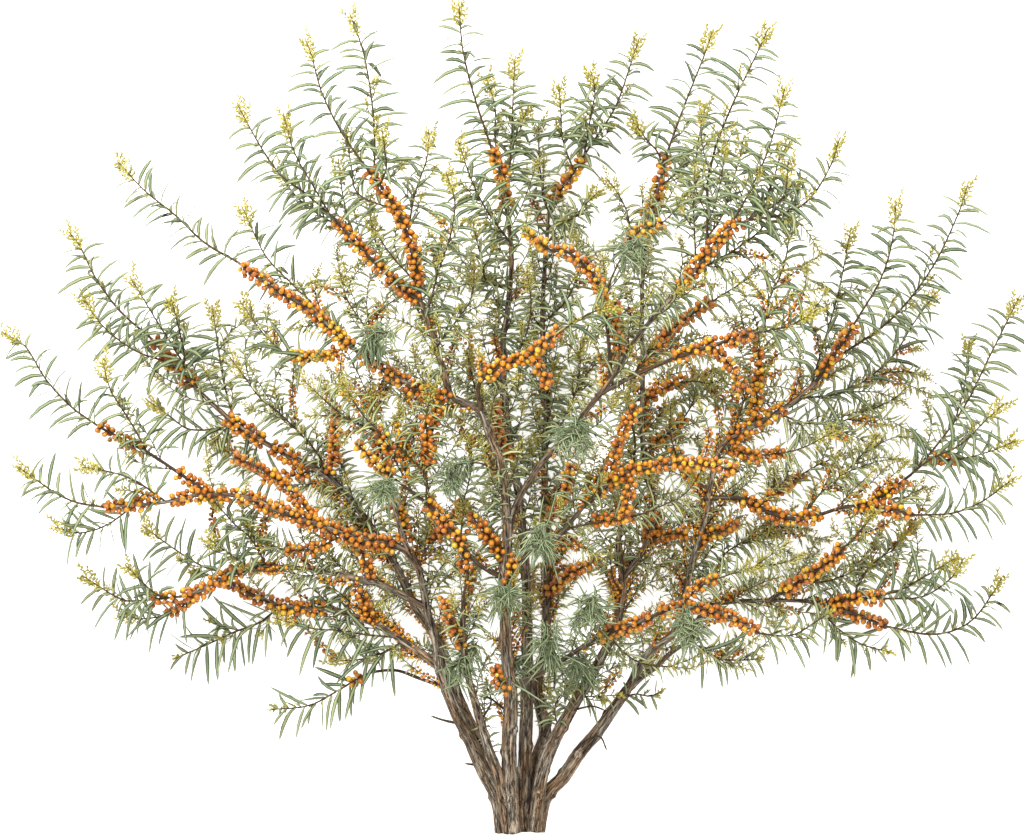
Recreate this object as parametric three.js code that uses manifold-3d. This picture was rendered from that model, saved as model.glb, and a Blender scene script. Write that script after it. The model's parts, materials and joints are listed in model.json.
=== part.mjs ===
// Sea buckthorn bush, cut off just above its roots and lying on its back: basal stems that fork
// into limbs, leafy sprays at every tip and clusters of berries round the older wood.
// Millimetres, +Z up. +Y is the way the bush grew, from the flat cut to the crown.
import * as THREE from "three";
import Module from "manifold-3d";

const wasm = await Module();
wasm.setup();

// ---------------------------------------------------------------- driving dimensions
const GRID = 5; // the routes below are drawn on a grid of this step, from the middle of the cut
const CUT_TO_CENTRE = [-5.516, 518.801]; // from the middle of the cut to the middle of the footprint
const GAP = 0.3; // clear space between neighbouring pieces
const FLATNESS = 0.1; // corners this close to a flat face are left out of it

const WOOD_STEP = 64; // length of one straight facet along a stem or limb
const TWIG_STEP = 44;
const STEM_SIDES = 6;
const LIMB_SIDES = 5;
const TWIG_SIDES = 3;
const TWIG_SWELL = 1.5; // a three-sided twig this much wider has the section of the round one
const ROOT_DEPTH = 6; // how far a limb's root runs back into the wood that it grows from
const EARLY_RISE = 1.25; // a limb gains height faster near its fork than near its tip
const CUT_GAP = 0.2; // clear space left where one piece is cut back from another
const CUT_REACH = 100; // how far the flat cut through the stems reaches to either side and up
const CUT_DEPTH = 60;

const LEAF_LENGTH = 40;
const LEAF_WIDTH = 4.2;
const LEAF_THICKNESS = 1.3;
const LEAF_ROOT = 0.42; // size of the root section, as a share of the widest one
const LEAF_SEAT = 0.15; // where a leaf's root sits, from the twig's middle to the middle of a face
const LEAF_PITCH = 5; // along the twig, in the full spiral of leaves
const LEAF_EVERY = 4; // one leaf in so many of that spiral is a solid here
const INNER_LEAF_EVERY = 6; // the same on the shoots inside the crown
const LEAF_WIDEST = 0.45; // share of the length at which a leaf is widest
const LEAF_ANGLE = 0.8; // radians between a twig and a young leaf
const LEAF_ARCH = 0.45; // how far a leaf bends outward and down, per length
const LEAF_SLOWING = 0.25; // how much a leaf loses of its first direction by its tip, per length
const ARCH_OUT = 0.6; // a leaf's bend is this much outward
const ARCH_DOWN = 0.8; // and this much down
const FACE_UP = 0.8; // a blade's flat side looks this much up
const FACE_OUT = 0.5; // and this much away from its twig
const TIP_SIZE = 0.45; // size of the last leaves of a shoot
const SIZE_LOW = 0.85; // the random size of a leaf starts here
const SIZE_SPREAD = 0.25; // and goes up by as much as this
const NARROWEST = 0.4; // a short leaf keeps this share of its width
const FIRST_LEAF = 10; // from a shoot's root to its first leaf
const FIRST_SIDE_LEAF = 8; // the same on a side shoot
const FREE_FROM = 0.3; // share of a leaf's lower half that may be near its own twig's neighbours
const TIP_TAPER = 60; // leaves shorten over this stretch before a shoot's tip
const TURNS_TRIED = [0, 0.5, -0.5, 1, -1, 1.6, -1.6, 2.4]; // radians, to bend a leaf clear

const BERRY_RADIUS = 4.1;
const BERRY_TURN = 0.56; // radians round the branch from one berry to the next
const CLUSTER_MOST = 11; // berries in one cluster
const BERRY_SPACING = 7.4; // between the middles of neighbouring berries, which press into each other
const BERRY_SIDES = 4;
const BERRY_NECK = 1.3; // radius where two berries press together
const BERRY_RING = 0.42; // where a berry's two rings of corners are, from its middle, per radius
const BERRY_POLE = 0.94; // where the end of a cluster's first and last berry is, per radius
const BERRY_TURNS = [1, -1, 2, -2, 3, 0]; // steps round the branch that a next berry may take

const GOLDEN_ANGLE = Math.PI * (3 - Math.sqrt(5));
const FLOOR = 0;
const PROBES = 400; // places tried along a branch to find the one nearest a point
const END_MARGIN = 1; // no facet of a branch is shorter than this
const STEEP = 0.9; // a direction whose upward part is more than this counts as upright
const GROWN_DOWN = new THREE.Vector3(0, -1, 0); // leaves arch this way: the bush grew upright
const UP = new THREE.Vector3(0, 0, 1);

// ---------------------------------------------------------------- routes
// Each row: name, radius at its start and its end, height at its start and its end, route.
const STEMS = [
  ["S1", 9, 2.6, 26, 150, [[-4, 0], [-5.5, 9], [-9, 16], [-12.5, 24], [-16, 31], [-18, 36], [-20, 42],
    [-21, 49], [-23, 56], [-25, 66], [-29, 74], [-30.5, 80], [-32, 85]]],
  ["L5", 7.5, 1.9, 14, 70, [[-2.5, 0], [-3, 9], [-6.5, 15], [-10, 22.5], [-14, 31], [-16, 36], [-18.5, 44],
    [-22, 51], [-26, 57], [-32, 69], [-40, 81], [-45, 87], [-50, 91], [-60, 96], [-68.5, 101], [-76, 107],
    [-85, 116], [-92, 124]]],
  ["S2", 7, 2.4, 40, 180, [[-2.5, 0], [-5, 14], [-8, 22.5], [-11.5, 35], [-13, 41], [-14, 49], [-14, 59]]],
  ["S3", 9, 4.6, 44, 240, [[-1.5, 0], [-2.5, 19], [-2, 34], [-3, 44], [-3.5, 54], [-3.5, 66], [-3, 76],
    [-3.5, 86], [-5, 94], [-7, 99], [-9.5, 106]]],
  ["S4", 8, 1.9, 20, 150, [[1, 0], [1.5, 19], [2, 34], [2, 56], [1.5, 69], [0, 84], [-3, 104], [-4, 122],
    [-3, 130], [-2, 140], [-2, 147], [-3.5, 160], [-5, 167], [-7, 172]]],
  ["S5", 7.5, 1.8, 10, 30, [[2.5, 0], [3, 11], [4.5, 19], [6.5, 25], [5.5, 31], [4.5, 36], [5, 41],
    [6.5, 46], [7, 59], [7, 71], [6.5, 84], [6.5, 98], [7, 108], [6, 124], [6, 134], [7, 149], [8, 158],
    [12.5, 164]]],
  ["S6", 8.5, 2.4, 32, 120, [[4, 0], [5.5, 14], [8.5, 22.5], [13, 31], [16, 36], [21, 45], [24, 51],
    [26, 59], [26, 64], [25, 71], [25.5, 78], [28, 89]]],
  ["S7", 9, 5.6, 16, 40, [[4.5, 0], [6.5, 9], [11, 14], [15, 20], [20, 26], [27, 36]]],
];

// Each row: name, what it grows from, radius at its start and its end, height of its end, route.
const LIMBS = [
  ["crown", "S4", 13, 11, 24, [[0.5, 0], [0.5, 4], [0.5, 8]]],
  ["F1", "S3", 4.6, 3, 270, [[-9.5, 106], [-12, 107.5], [-17, 110], [-19, 116.5], [-22, 126],
    [-24.5, 133]]],
  ["L6", "F1", 3.6, 1.8, 225, [[-17, 110], [-25, 111.5], [-35, 117], [-43.5, 123.5], [-52, 131], [-62, 137],
    [-70, 143]]],
  ["C1", "S3", 3, 1.6, 330, [[-9.5, 106], [-10, 112.5], [-5, 117], [2.5, 120], [10, 126]]],
  ["L8", "F1", 2.6, 1.7, 290, [[-24.5, 133], [-30, 137.5], [-36, 143], [-42, 149.5], [-46, 154]]],
  ["L9", "F1", 2.6, 1.7, 335, [[-24.5, 133], [-26, 143], [-29, 153], [-33, 160], [-38, 166.5]]],
  ["R1", "S3", 4.4, 2, 330, [[-3, 72], [-1, 82], [5, 92], [15, 104], [23, 114], [30, 125], [39.5, 136],
    [46.5, 144.5], [52, 151], [57, 153.5]]],
  ["R3", "R1", 2, 1.5, 300, [[46.5, 144.5], [47, 155], [47, 163], [49, 172]]],
  ["C2", "R1", 2.6, 1.6, 300, [[22.5, 114], [22, 126], [19.5, 138], [13, 145], [8, 146]]],
  ["R5", "R1", 3, 1.7, 285, [[20, 110.5], [28, 114.5], [38.5, 119], [48.5, 122.5], [59.5, 125.5]]],
  ["R2", "S6", 4, 1.8, 55, [[26, 64], [31, 71], [34, 80], [32, 90], [31, 99], [31, 119], [31, 140],
    [33.5, 155], [37, 170.5]]],
  ["R10", "S7", 5.4, 2, 190, [[27, 36], [33, 46], [39.5, 51.5], [43, 66.5], [47, 80], [50, 96], [59, 102.5],
    [68, 108], [77, 116], [80.5, 120]]],
  ["R10b", "R10", 2, 1.7, 225, [[74, 113.5], [79.5, 121], [83.5, 127.5]]],
  ["S7low", "S7", 4.2, 2.6, 26, [[27, 36], [30.5, 39], [34, 41.5], [39, 46], [43, 48]]],
  ["Rlow", "S7low", 3.2, 1.8, 60, [[42, 47.5], [46.5, 56], [52.5, 58], [63, 58.5], [74, 58], [84.5, 55],
    [92, 52]]],
  ["R14", "Rlow", 1.9, 1.5, 95, [[77, 57.5], [84, 59], [92, 59]]],
  ["R12", "Rlow", 2, 1.6, 130, [[63, 58.5], [70, 63], [78, 68.5], [81, 71.5]]],
  ["R7", "S3", 3.4, 1.5, 300, [[-3.5, 66], [3, 71], [10, 75], [16.5, 82.5], [25.5, 90], [33, 92], [45, 93],
    [54.5, 91]]],
  ["R13", "R10", 3, 1.6, 165, [[48, 84], [55.5, 84], [63, 80.5], [71, 79], [81.5, 82], [89, 82], [99, 80]]],
  ["R9", "R13", 2, 1.7, 130, [[85.5, 82.3], [92, 85.5], [98, 90]]],
  ["B", "S3", 3.4, 1.7, 225, [[-2.5, 37], [9, 42.5], [20, 49.5], [29.5, 53], [40, 57], [50, 55.5],
    [60, 50.5]]],
  ["L0", "S1", 2.4, 1.6, 48, [[-18.3, 37], [-25, 39], [-31, 41], [-37, 40.5]]],
  ["L1", "S1", 5, 1.8, 50, [[-20, 42], [-28.5, 48], [-37, 53], [-47, 56], [-58.5, 57], [-67, 60],
    [-75, 64]]],
  ["L2", "S1", 4.4, 1.8, 120, [[-23, 57], [-35, 62.5], [-50, 66], [-63.5, 67], [-72, 65], [-80, 61],
    [-85, 59.5]]],
  ["L3", "S1", 4.4, 1.7, 200, [[-25.2, 67], [-30, 72], [-41, 74], [-50, 77.5], [-60, 81], [-68.5, 84.5],
    [-80, 85], [-90, 83], [-104, 82]]],
  ["L4", "L3", 2.3, 1.7, 150, [[-77, 85], [-85, 90.5], [-93.5, 96], [-105, 102]]],
  ["M3", "S3", 3, 1.8, 250, [[-3.5, 64], [-10.5, 68], [-16.5, 75.5], [-22, 82], [-31, 89]]],
  ["snag1", "S1", 1.9, 1.1, 52, [[-14, 27.5], [-19, 28.5], [-22, 29.5]]],
  ["snag2", "L5", 2, 1.2, 26, [[-7, 16], [-10, 17], [-13.5, 17.5]]],
  ["snag3", "S7", 1.8, 0.9, 56, [[13, 17], [15, 22], [20, 24.5], [22, 21]]],
  ["snag4", "S6", 1.8, 1, 84, [[10, 26], [12, 30], [18, 32], [21.5, 31]]],
  ["snag5", "S2", 1.5, 0.9, 96, [[-9.5, 28], [-7, 33], [-8, 37]]],
];

// Leafy shoots, as the limbs. A shoot that grows from another shoot is in that shoot's spray.
const SHOOTS = [
  ["L0", "L0", 1.5, 0.9, 16, [[-37, 40.5], [-41, 38.5], [-46, 35.5], [-53, 32], [-62.5, 31]]],
  ["L1b", "L1", 1.6, 0.9, 5, [[-60, 57.5], [-65, 53], [-71.5, 50.5], [-78, 47.5], [-86, 44]]],
  ["L1b_side", "L1b", 1.1, 0.8, 14, [[-70.5, 51], [-75, 52], [-78.5, 53.5]]],
  ["L2", "L2", 1.6, 0.9, 90, [[-85, 59.5], [-95, 58.5], [-100, 59], [-109, 64.5]]],
  ["L2_side", "L2", 1.2, 0.8, 150, [[-89, 59], [-92, 61], [-98, 67]]],
  ["L2c", "L2", 1.4, 0.8, 60, [[-72, 65], [-79, 67], [-86.5, 71.5], [-94, 77]]],
  ["L3", "L3", 1.6, 0.9, 180, [[-104, 82], [-110, 83], [-115, 85], [-121, 89], [-125, 92]]],
  ["L4", "L4", 1.6, 0.9, 105, [[-105, 102], [-112, 107], [-118.5, 114], [-123.5, 122], [-129, 125.5]]],
  ["L5", "L5", 1.7, 0.9, 36, [[-92, 124], [-100, 131], [-106, 139], [-110, 147], [-113, 151]]],
  ["L5c", "L5", 1.5, 0.8, 20, [[-71, 103], [-74, 113], [-75.5, 122], [-77, 132]]],
  ["L5d", "L5", 1.5, 0.8, 120, [[-80, 111], [-86, 121], [-91, 129], [-97, 139]]],
  ["L6", "L6", 1.7, 0.9, 195, [[-70, 143], [-78.5, 148], [-86, 155], [-93.5, 161], [-100, 168]]],
  ["L6b", "L6", 1.6, 0.8, 140, [[-43.5, 123.5], [-51, 132], [-57, 138], [-63.5, 145], [-69, 156.5]]],
  ["L8", "L8", 1.6, 0.9, 270, [[-46, 154], [-53, 160], [-59.5, 165], [-64.5, 172], [-70, 182]]],
  ["L8_side", "L8", 1.3, 0.8, 330, [[-47, 155], [-51, 161.5], [-56, 170.5], [-58.5, 179.5]]],
  ["L9", "L9", 1.6, 0.9, 350, [[-38, 166.5], [-44, 175], [-49, 185], [-51.5, 194], [-53, 198]]],
  ["L10", "L9", 1.6, 0.9, 250, [[-36, 164], [-36, 175], [-37, 185.5], [-39, 196], [-42, 204.5]]],
  ["L12", "L9", 1.4, 0.8, 225, [[-28, 150], [-26, 160], [-23, 169], [-22.5, 175.5]]],
  ["N1", "F1", 1.4, 0.8, 330, [[-23, 129], [-20, 141], [-17, 150], [-16, 158], [-18, 165]]],
  ["C0", "S4", 1.7, 0.9, 170, [[-7, 172], [-11, 184], [-14, 196], [-15, 207.5]]],
  ["C0b", "S4", 1.5, 0.8, 80, [[-3, 157], [-2, 171.5], [-1.5, 184], [-1, 194]]],
  ["UM", "S5", 1.6, 0.9, 16, [[12.5, 164], [17.5, 172], [24, 182], [28, 193], [30, 199]]],
  ["UM_side1", "UM", 1.2, 0.8, 130, [[16.5, 170.5], [18, 180], [19, 186], [18, 191]]],
  ["UM_side2", "UM", 1.2, 0.8, 75, [[13.5, 166], [11, 174], [10.5, 181], [10, 187.5]]],
  ["C1", "C1", 1.5, 0.9, 370, [[10, 126], [14, 128], [18, 130.5], [24, 132]]],
  ["R1", "R1", 1.7, 0.9, 345, [[57, 153.5], [66, 155], [72.5, 159], [77.5, 167], [79.5, 173]]],
  ["R3", "R3", 1.5, 0.9, 270, [[49, 172], [53, 182], [58.5, 193.5], [62, 201]]],
  ["R3b", "R1", 1.5, 0.8, 385, [[52, 151], [57, 160], [62, 171], [65, 182], [66, 186]]],
  ["R3d", "R1", 1.4, 0.8, 210, [[44, 142], [43.5, 159], [44.5, 171.5], [46.5, 182]]],
  ["R5", "R5", 1.5, 0.9, 310, [[59.5, 125.5], [68, 127.5], [74, 131]]],
  ["R5_side", "R5", 1.3, 0.8, 240, [[61, 126], [62.5, 134], [66, 142], [68, 153]]],
  ["R2", "R2", 1.6, 0.9, 14, [[37, 170.5], [42, 184], [46, 194], [48.5, 201]]],
  ["R10", "R10", 1.7, 0.9, 205, [[80.5, 120], [93, 129], [103, 141.5], [110, 156], [112, 162.5]]],
  ["R10b", "R10b", 1.5, 0.8, 275, [[83.5, 127.5], [90, 138.5], [93, 148], [94, 158]]],
  ["R10c", "R10", 1.4, 0.8, 110, [[73, 112], [77, 125.5], [80, 136], [83, 151]]],
  ["R11", "R10", 1.6, 0.8, 16, [[69, 109], [82, 111], [93, 119], [99, 128], [104.5, 135.5]]],
  ["S7low", "S7low", 1.7, 0.9, 8, [[43, 48], [50, 44], [57, 43.5], [61, 44]]],
  ["Rlow", "Rlow", 1.6, 0.9, 40, [[92, 52], [104, 50], [113, 53], [119, 60.5], [121, 64]]],
  ["R14", "R14", 1.4, 0.9, 120, [[92, 59], [101, 59.5], [108, 64], [111, 68.5]]],
  ["R13", "R13", 1.5, 0.9, 150, [[99, 80], [108.5, 80.5], [116, 83.5], [123.5, 89]]],
  ["R9", "R9", 1.6, 0.9, 100, [[98, 90], [105, 98], [112, 108], [118, 120], [125, 134]]],
  ["R9_side1", "R9", 1.2, 0.8, 190, [[102, 94], [110, 94], [118, 96], [124, 98.5]]],
  ["R9_side2", "R9", 1.2, 0.8, 60, [[109, 104], [111.5, 112], [113, 123.5]]],
  ["B", "B", 1.5, 0.9, 215, [[60, 50.5], [68, 50], [75, 54], [78, 56]]],
  ["front1", "M3", 1.4, 0.9, 325, [[-31, 89], [-33, 88.5], [-34.5, 86]]],
  ["front2", "R7", 1.4, 0.9, 285, [[5, 72.3], [5.5, 75.5], [6, 73]]],
];

// Thin shoots inside the crown, as the leafy shoots. They are fused to the wood that they grow from.
const INNER_SHOOTS = [
  ["S6tip", "S6", 2, 0.9, 150, [[28, 89], [29, 98], [27.5, 108], [28.5, 116]]],
  ["R2d", "R2", 1.5, 0.8, 90, [[31, 108], [37, 112], [43, 113.5], [51, 112]]],
  ["R2e", "R2", 1.5, 0.8, 100, [[31, 122], [25, 128], [22, 136], [21, 145]]],
  ["R2f", "R2", 1.4, 0.8, 80, [[31, 96], [38, 101], [43, 107], [45, 115]]],
  ["R6", "R5", 1.8, 0.9, 170, [[28, 115], [31.5, 119.5], [38, 126], [44.5, 131], [50, 134.5], [57, 139],
    [60, 142.5]]],
  ["C2b", "C2", 1.5, 0.8, 250, [[21.5, 132], [23, 139], [26.5, 146], [30, 151], [35, 152.5], [40, 157],
    [43, 160]]],
  ["R10e", "R10", 1.5, 0.8, 120, [[48, 86], [41, 92], [38, 100], [38, 108]]],
  ["R10f", "R10", 1.4, 0.8, 150, [[54, 99], [56, 108], [60, 117], [60, 126]]],
  ["R10h", "R10", 1.4, 0.8, 190, [[51, 97], [60, 95], [70, 96.5], [79, 101]]],
  ["R13b", "R13", 1.4, 0.8, 140, [[70, 79], [76, 86], [83, 92], [90, 100]]],
  ["R7b", "R7", 1.6, 0.8, 260, [[11.5, 76], [18, 78], [29.5, 80], [37, 83], [41, 85], [44, 88.5],
    [46, 92.5]]],
  ["Bb", "B", 1.4, 0.8, 230, [[40, 57], [45, 62], [52, 65], [60, 67.5]]],
  ["S5a", "S5", 1.4, 0.8, 70, [[6.5, 98], [12, 105], [15, 115], [15.5, 124]]],
  ["S5b", "S5", 1.4, 0.8, 60, [[6, 128], [12, 134], [15, 142], [14, 151]]],
  ["S4a", "S4", 1.4, 0.8, 190, [[-2, 98], [-7, 104], [-11, 112], [-13, 121]]],
  ["S4b", "S4", 1.4, 0.8, 175, [[-3.5, 116], [1, 123], [3, 132], [2, 141]]],
  ["S2tip", "S2", 2, 0.9, 210, [[-14, 59], [-13, 66], [-14.5, 74], [-13.5, 83]]],
  ["S1in", "S1", 1.5, 0.8, 210, [[-25.5, 67], [-23.5, 71], [-20, 75], [-15, 81], [-12, 91], [-12, 99]]],
  ["S1tip", "S1", 2.2, 0.9, 175, [[-32, 85], [-33.5, 92], [-36, 101], [-37, 110]]],
  ["M3d", "M3", 1.4, 0.8, 270, [[-23, 83], [-23, 92], [-23, 99], [-23, 105], [-21.5, 112.5]]],
  ["L5f", "L5", 1.4, 0.8, 150, [[-48, 91], [-51, 96], [-59.5, 105], [-65, 109.5], [-69, 115], [-72, 119]]],
  ["L5h", "L5", 1.4, 0.8, 20, [[-50, 92], [-61, 89], [-65.5, 90], [-73.5, 96], [-77, 99]]],
];

// Each row: name, the stem or limb that carries it, and where on it the berries start and end.
const CLUSTERS = [
  ["L6", "L6", [-51, 130], [-68.5, 142]],
  ["L6in", "L6", [-24, 111.5], [-38, 119]],
  ["L8", "L8", [-28.5, 136], [-45, 153]],
  ["L9", "L9", [-27, 146], [-36.5, 165]],
  ["C0", "S4", [-3, 158], [-6.5, 170]],
  ["C1", "C1", [-9, 114], [9, 125]],
  ["R1", "R1", [41, 138], [55, 152.7]],
  ["R2", "R2", [33, 152], [36.5, 169]],
  ["R5", "R5", [41, 120], [57, 124.8]],
  ["R10", "R10b", [76.5, 117.5], [83, 126.5]],
  ["R7", "R7", [23, 88], [54, 91]],
  ["R13", "R13", [56.5, 83.8], [75, 79.5]],
  ["Rlow", "Rlow", [79, 57], [91.5, 52.3]],
  ["R12", "R12", [67, 61.5], [80.5, 71]],
  ["B", "B", [35, 55], [58, 51.5]],
  ["L3", "L3", [-34, 72.8], [-68, 84.3]],
  ["L3c", "L3", [-92, 82.8], [-103.5, 82]],
  ["L2", "L2", [-63, 67], [-79, 61.4]],
  ["L5", "L5", [-84.5, 115.5], [-91.5, 123.5]],
  ["L4", "L4", [-94, 96.3], [-104.5, 101.8]],
];

// ---------------------------------------------------------------- materials
const BARK = new THREE.MeshStandardMaterial({ color: 0x6b5a4a, roughness: 0.9, flatShading: true });
const LEAF = new THREE.MeshStandardMaterial({ color: 0x8fa58a, roughness: 0.7, flatShading: true });
const BERRY = new THREE.MeshStandardMaterial({ color: 0xe07a14, roughness: 0.35, flatShading: true });

// ---------------------------------------------------------------- small helpers
/** A repeatable number from 0 to 1 for each pair of whole numbers. */
function chance(index, seed) {
  const wave = Math.sin(index * 12.9898 + seed * 78.233) * 43758.5453;
  return wave - Math.floor(wave);
}

/** a + b * k */
function along(a, b, k) {
  return a.clone().addScaledVector(b, k);
}

/** A closed solid from points and triangles of point numbers. */
function solidFrom(points, triangles) {
  const vertProperties = new Float32Array(points.flatMap((p) => [p.x, p.y, p.z]));
  const triVerts = new Uint32Array(triangles.flat());
  return new wasm.Manifold(new wasm.Mesh({ numProp: 3, vertProperties, triVerts }));
}

/** Rings of equal point counts skinned into one closed solid; the last ring may be a single point. */
function skinned(rings) {
  const sides = rings[0].length;
  const points = rings.flat();
  const triangles = [];
  for (let k = 1; k < sides - 1; k++) {
    triangles.push([0, k + 1, k]);
  }
  for (let ring = 0; ring + 1 < rings.length; ring++) {
    const low = ring * sides;
    const high = low + sides;
    const toPoint = rings[ring + 1].length === 1;
    for (let k = 0; k < sides; k++) {
      const next = (k + 1) % sides;
      triangles.push([low + k, low + next, toPoint ? high : high + next]);
      if (!toPoint) {
        triangles.push([low + k, high + next, high + k]);
      }
    }
  }
  const last = rings[rings.length - 1];
  const start = points.length - last.length;
  for (let k = 1; k < last.length - 1; k++) {
    triangles.push([start, start + k, start + k + 1]);
  }
  return solidFrom(points, triangles);
}

// ---------------------------------------------------------------- branches
const STEM_KIND = { prefix: "", step: WOOD_STEP, sides: STEM_SIDES, swell: 1 };
const LIMB_KIND = { prefix: "", step: WOOD_STEP, sides: LIMB_SIDES, swell: 1 };
const TWIG = { step: TWIG_STEP, sides: TWIG_SIDES, swell: TWIG_SWELL };
const SHOOT_KIND = { prefix: "shoot_", leafEvery: LEAF_EVERY, ...TWIG };
const INNER_KIND = { prefix: "inner_", leafEvery: INNER_LEAF_EVERY, ...TWIG };

const branches = new Map();

/** A level direction square to this one. */
function levelAcross(direction) {
  const other = Math.abs(direction.z) > STEEP ? GROWN_DOWN : UP;
  return new THREE.Vector3().crossVectors(direction, other).normalize();
}

/** The nearest place on a branch to a point of the drawing: its distance along it and its centre. */
function nearestOn(branch, x, y) {
  let best = null;
  for (let k = 0; k <= PROBES; k++) {
    const distance = (branch.length * k) / PROBES;
    const place = stationAt(branch, distance);
    const off = Math.hypot(place.centre.x - x, place.centre.y - y);
    if (best === null || off < best.off) {
      best = { off, distance, place };
    }
  }
  return best;
}

/** Centre, direction, section axes and radius at a distance along a branch, past its ends too. */
function stationAt(branch, distance) {
  const list = branch.stations;
  let k = 1;
  while (k < list.length - 1 && list[k].distance < distance) {
    k++;
  }
  const a = list[k - 1];
  const b = list[k];
  const share = (distance - a.distance) / (b.distance - a.distance);
  const held = Math.min(1, Math.max(0, share));
  return {
    distance,
    centre: a.centre.clone().lerp(b.centre, share),
    direction: b.centre.clone().sub(a.centre).normalize(),
    side: a.side.clone().lerp(b.side, held).normalize(),
    rise: a.rise.clone().lerp(b.rise, held).normalize(),
    radius: a.radius + (b.radius - a.radius) * held,
  };
}

/** Places stations along a smooth curve, with section axes that turn as little as they can. */
function stationsOn(curve, radii, step) {
  const count = Math.max(2, Math.round(curve.getLength() / step));
  const centres = curve.getSpacedPoints(count);
  const stations = [];
  let distance = 0;
  let side = null;
  centres.forEach((centre, k) => {
    const before = centres[Math.max(0, k - 1)];
    const after = centres[Math.min(count, k + 1)];
    const direction = after.clone().sub(before).normalize();
    if (side === null) {
      side = levelAcross(direction);
    }
    side.addScaledVector(direction, -side.dot(direction)).normalize();
    if (k > 0) {
      distance += centre.distanceTo(centres[k - 1]);
    }
    const rise = new THREE.Vector3().crossVectors(direction, side);
    const radius = radii[0] + ((radii[1] - radii[0]) * k) / count;
    stations.push({ distance, centre, side: side.clone(), rise, radius });
  });
  return { stations, length: distance };
}

/** Makes a branch from its row. It starts on its parent's centreline and never sinks below the floor. */
function addBranch(name, parent, radii, heights, route, kind) {
  let first = new THREE.Vector2(route[0][0] * GRID, route[0][1] * GRID);
  let low = heights[0];
  if (parent) {
    const found = nearestOn(parent, first.x, first.y).place.centre;
    first = new THREE.Vector2(found.x, found.y);
    low = found.z;
  }
  const flat = [first, ...route.slice(1).map(([x, y]) => new THREE.Vector2(x * GRID, y * GRID))];
  const reach = [0];
  for (let k = 1; k < flat.length; k++) {
    reach.push(reach[k - 1] + flat[k].distanceTo(flat[k - 1]));
  }
  const points = flat.map((p, k) => {
    const u = reach[k] / reach[reach.length - 1];
    const radius = radii[0] + (radii[1] - radii[0]) * u;
    const height = low + (heights[1] - low) * u * (EARLY_RISE - (EARLY_RISE - 1) * u);
    return new THREE.Vector3(p.x, p.y, Math.max(height, FLOOR + radius));
  });
  const curve = new THREE.CatmullRomCurve3(points, false, "catmullrom", 0.5);
  const made = stationsOn(curve, radii, kind.step);
  const branch = { name, parent, kind, seed: branches.size, ...made };
  branches.set(kind.prefix + name, branch);
  return branch;
}

/** The solid of a branch between two distances, thicker all round by extra. */
function tube(branch, from, to, extra, mitre) {
  const within = (distance) => distance > from + END_MARGIN && distance < to - END_MARGIN;
  const inner = branch.stations.filter((station) => within(station.distance));
  const list = [stationAt(branch, from), ...inner, stationAt(branch, to)];
  const sides = branch.kind.sides;
  const rings = list.map((station) =>
    Array.from({ length: sides }, (_, k) => {
      const turn = (2 * Math.PI * k) / sides;
      const reach = station.radius * branch.kind.swell + extra;
      const edge = along(station.centre, station.side, Math.cos(turn) * reach);
      return edge.addScaledVector(station.rise, Math.sin(turn) * reach);
    }),
  );
  if (mitre) {
    const run = list[0].direction;
    for (const corner of rings[0]) {
      const short = mitre.normal.dot(mitre.point) - mitre.normal.dot(corner);
      corner.addScaledVector(run, short / mitre.normal.dot(run));
    }
  }
  return skinned(rings);
}

/** The plane just off its host's surface that a shoot starts from. */
function startPlane(shoot) {
  const host = nearestOn(shoot.parent, shoot.stations[0].centre.x, shoot.stations[0].centre.y);
  const forward = host.place.direction;
  if (host.distance > shoot.parent.length - END_MARGIN) {
    return { normal: forward, point: along(host.place.centre, forward, GAP) };
  }
  const run = stationAt(shoot, 0).direction;
  const normal = along(run, forward, -run.dot(forward)).normalize();
  const reach = host.place.radius * shoot.parent.kind.swell + GAP;
  return { normal, point: along(host.place.centre, normal, reach) };
}

function rootDepth(branch) {
  return branch.kind === SHOOT_KIND ? 0 : ROOT_DEPTH;
}

function wholeTube(branch, extra) {
  return tube(branch, -rootDepth(branch) - extra, branch.length + extra, extra);
}

// ---------------------------------------------------------------- keeping pieces clear of each other
const taken = []; // straight stretches that are already filled: ends, radius and the node they are in

function take(a, b, radius, node) {
  taken.push({ a, b, radius, node });
}

/** Shortest distance between two straight stretches. */
function stretchDistance(a1, b1, a2, b2) {
  const d1 = b1.clone().sub(a1);
  const d2 = b2.clone().sub(a2);
  const r = a1.clone().sub(a2);
  const l1 = d1.lengthSq();
  const l2 = d2.lengthSq();
  const mixed = d1.dot(d2);
  const onFirst = d1.dot(r);
  const onSecond = d2.dot(r);
  const spread = l1 * l2 - mixed * mixed;
  let s = spread > 1e-9 ? (mixed * onSecond - onFirst * l2) / spread : 0;
  s = Math.min(1, Math.max(0, s));
  let t = l2 > 1e-9 ? (mixed * s + onSecond) / l2 : 0;
  if (t < 0 || t > 1) {
    t = Math.min(1, Math.max(0, t));
    s = l1 > 1e-9 ? Math.min(1, Math.max(0, (mixed * t - onFirst) / l1)) : 0;
  }
  return along(a1, d1, s).distanceTo(along(a2, d2, t));
}

/** True where a stretch touches nothing that is taken; what is named as its own doesn't count. */
function isClear(a, b, radius, own) {
  return taken.every((other) => {
    if (own.includes(other.node)) {
      return true;
    }
    return stretchDistance(a, b, other.a, other.b) > radius + other.radius + GAP;
  });
}

/** The name under which a spray's twigs are taken, apart from its leaves. */
function twigOf(node) {
  return node + "_twig";
}

function woodOf(branch) {
  return "wood_" + branch.name;
}

function takeBranch(branch, node) {
  const list = [stationAt(branch, -rootDepth(branch)), ...branch.stations.slice(1)];
  for (let k = 1; k < list.length; k++) {
    take(list[k - 1].centre, list[k].centre, list[k - 1].radius, node);
  }
}

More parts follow.
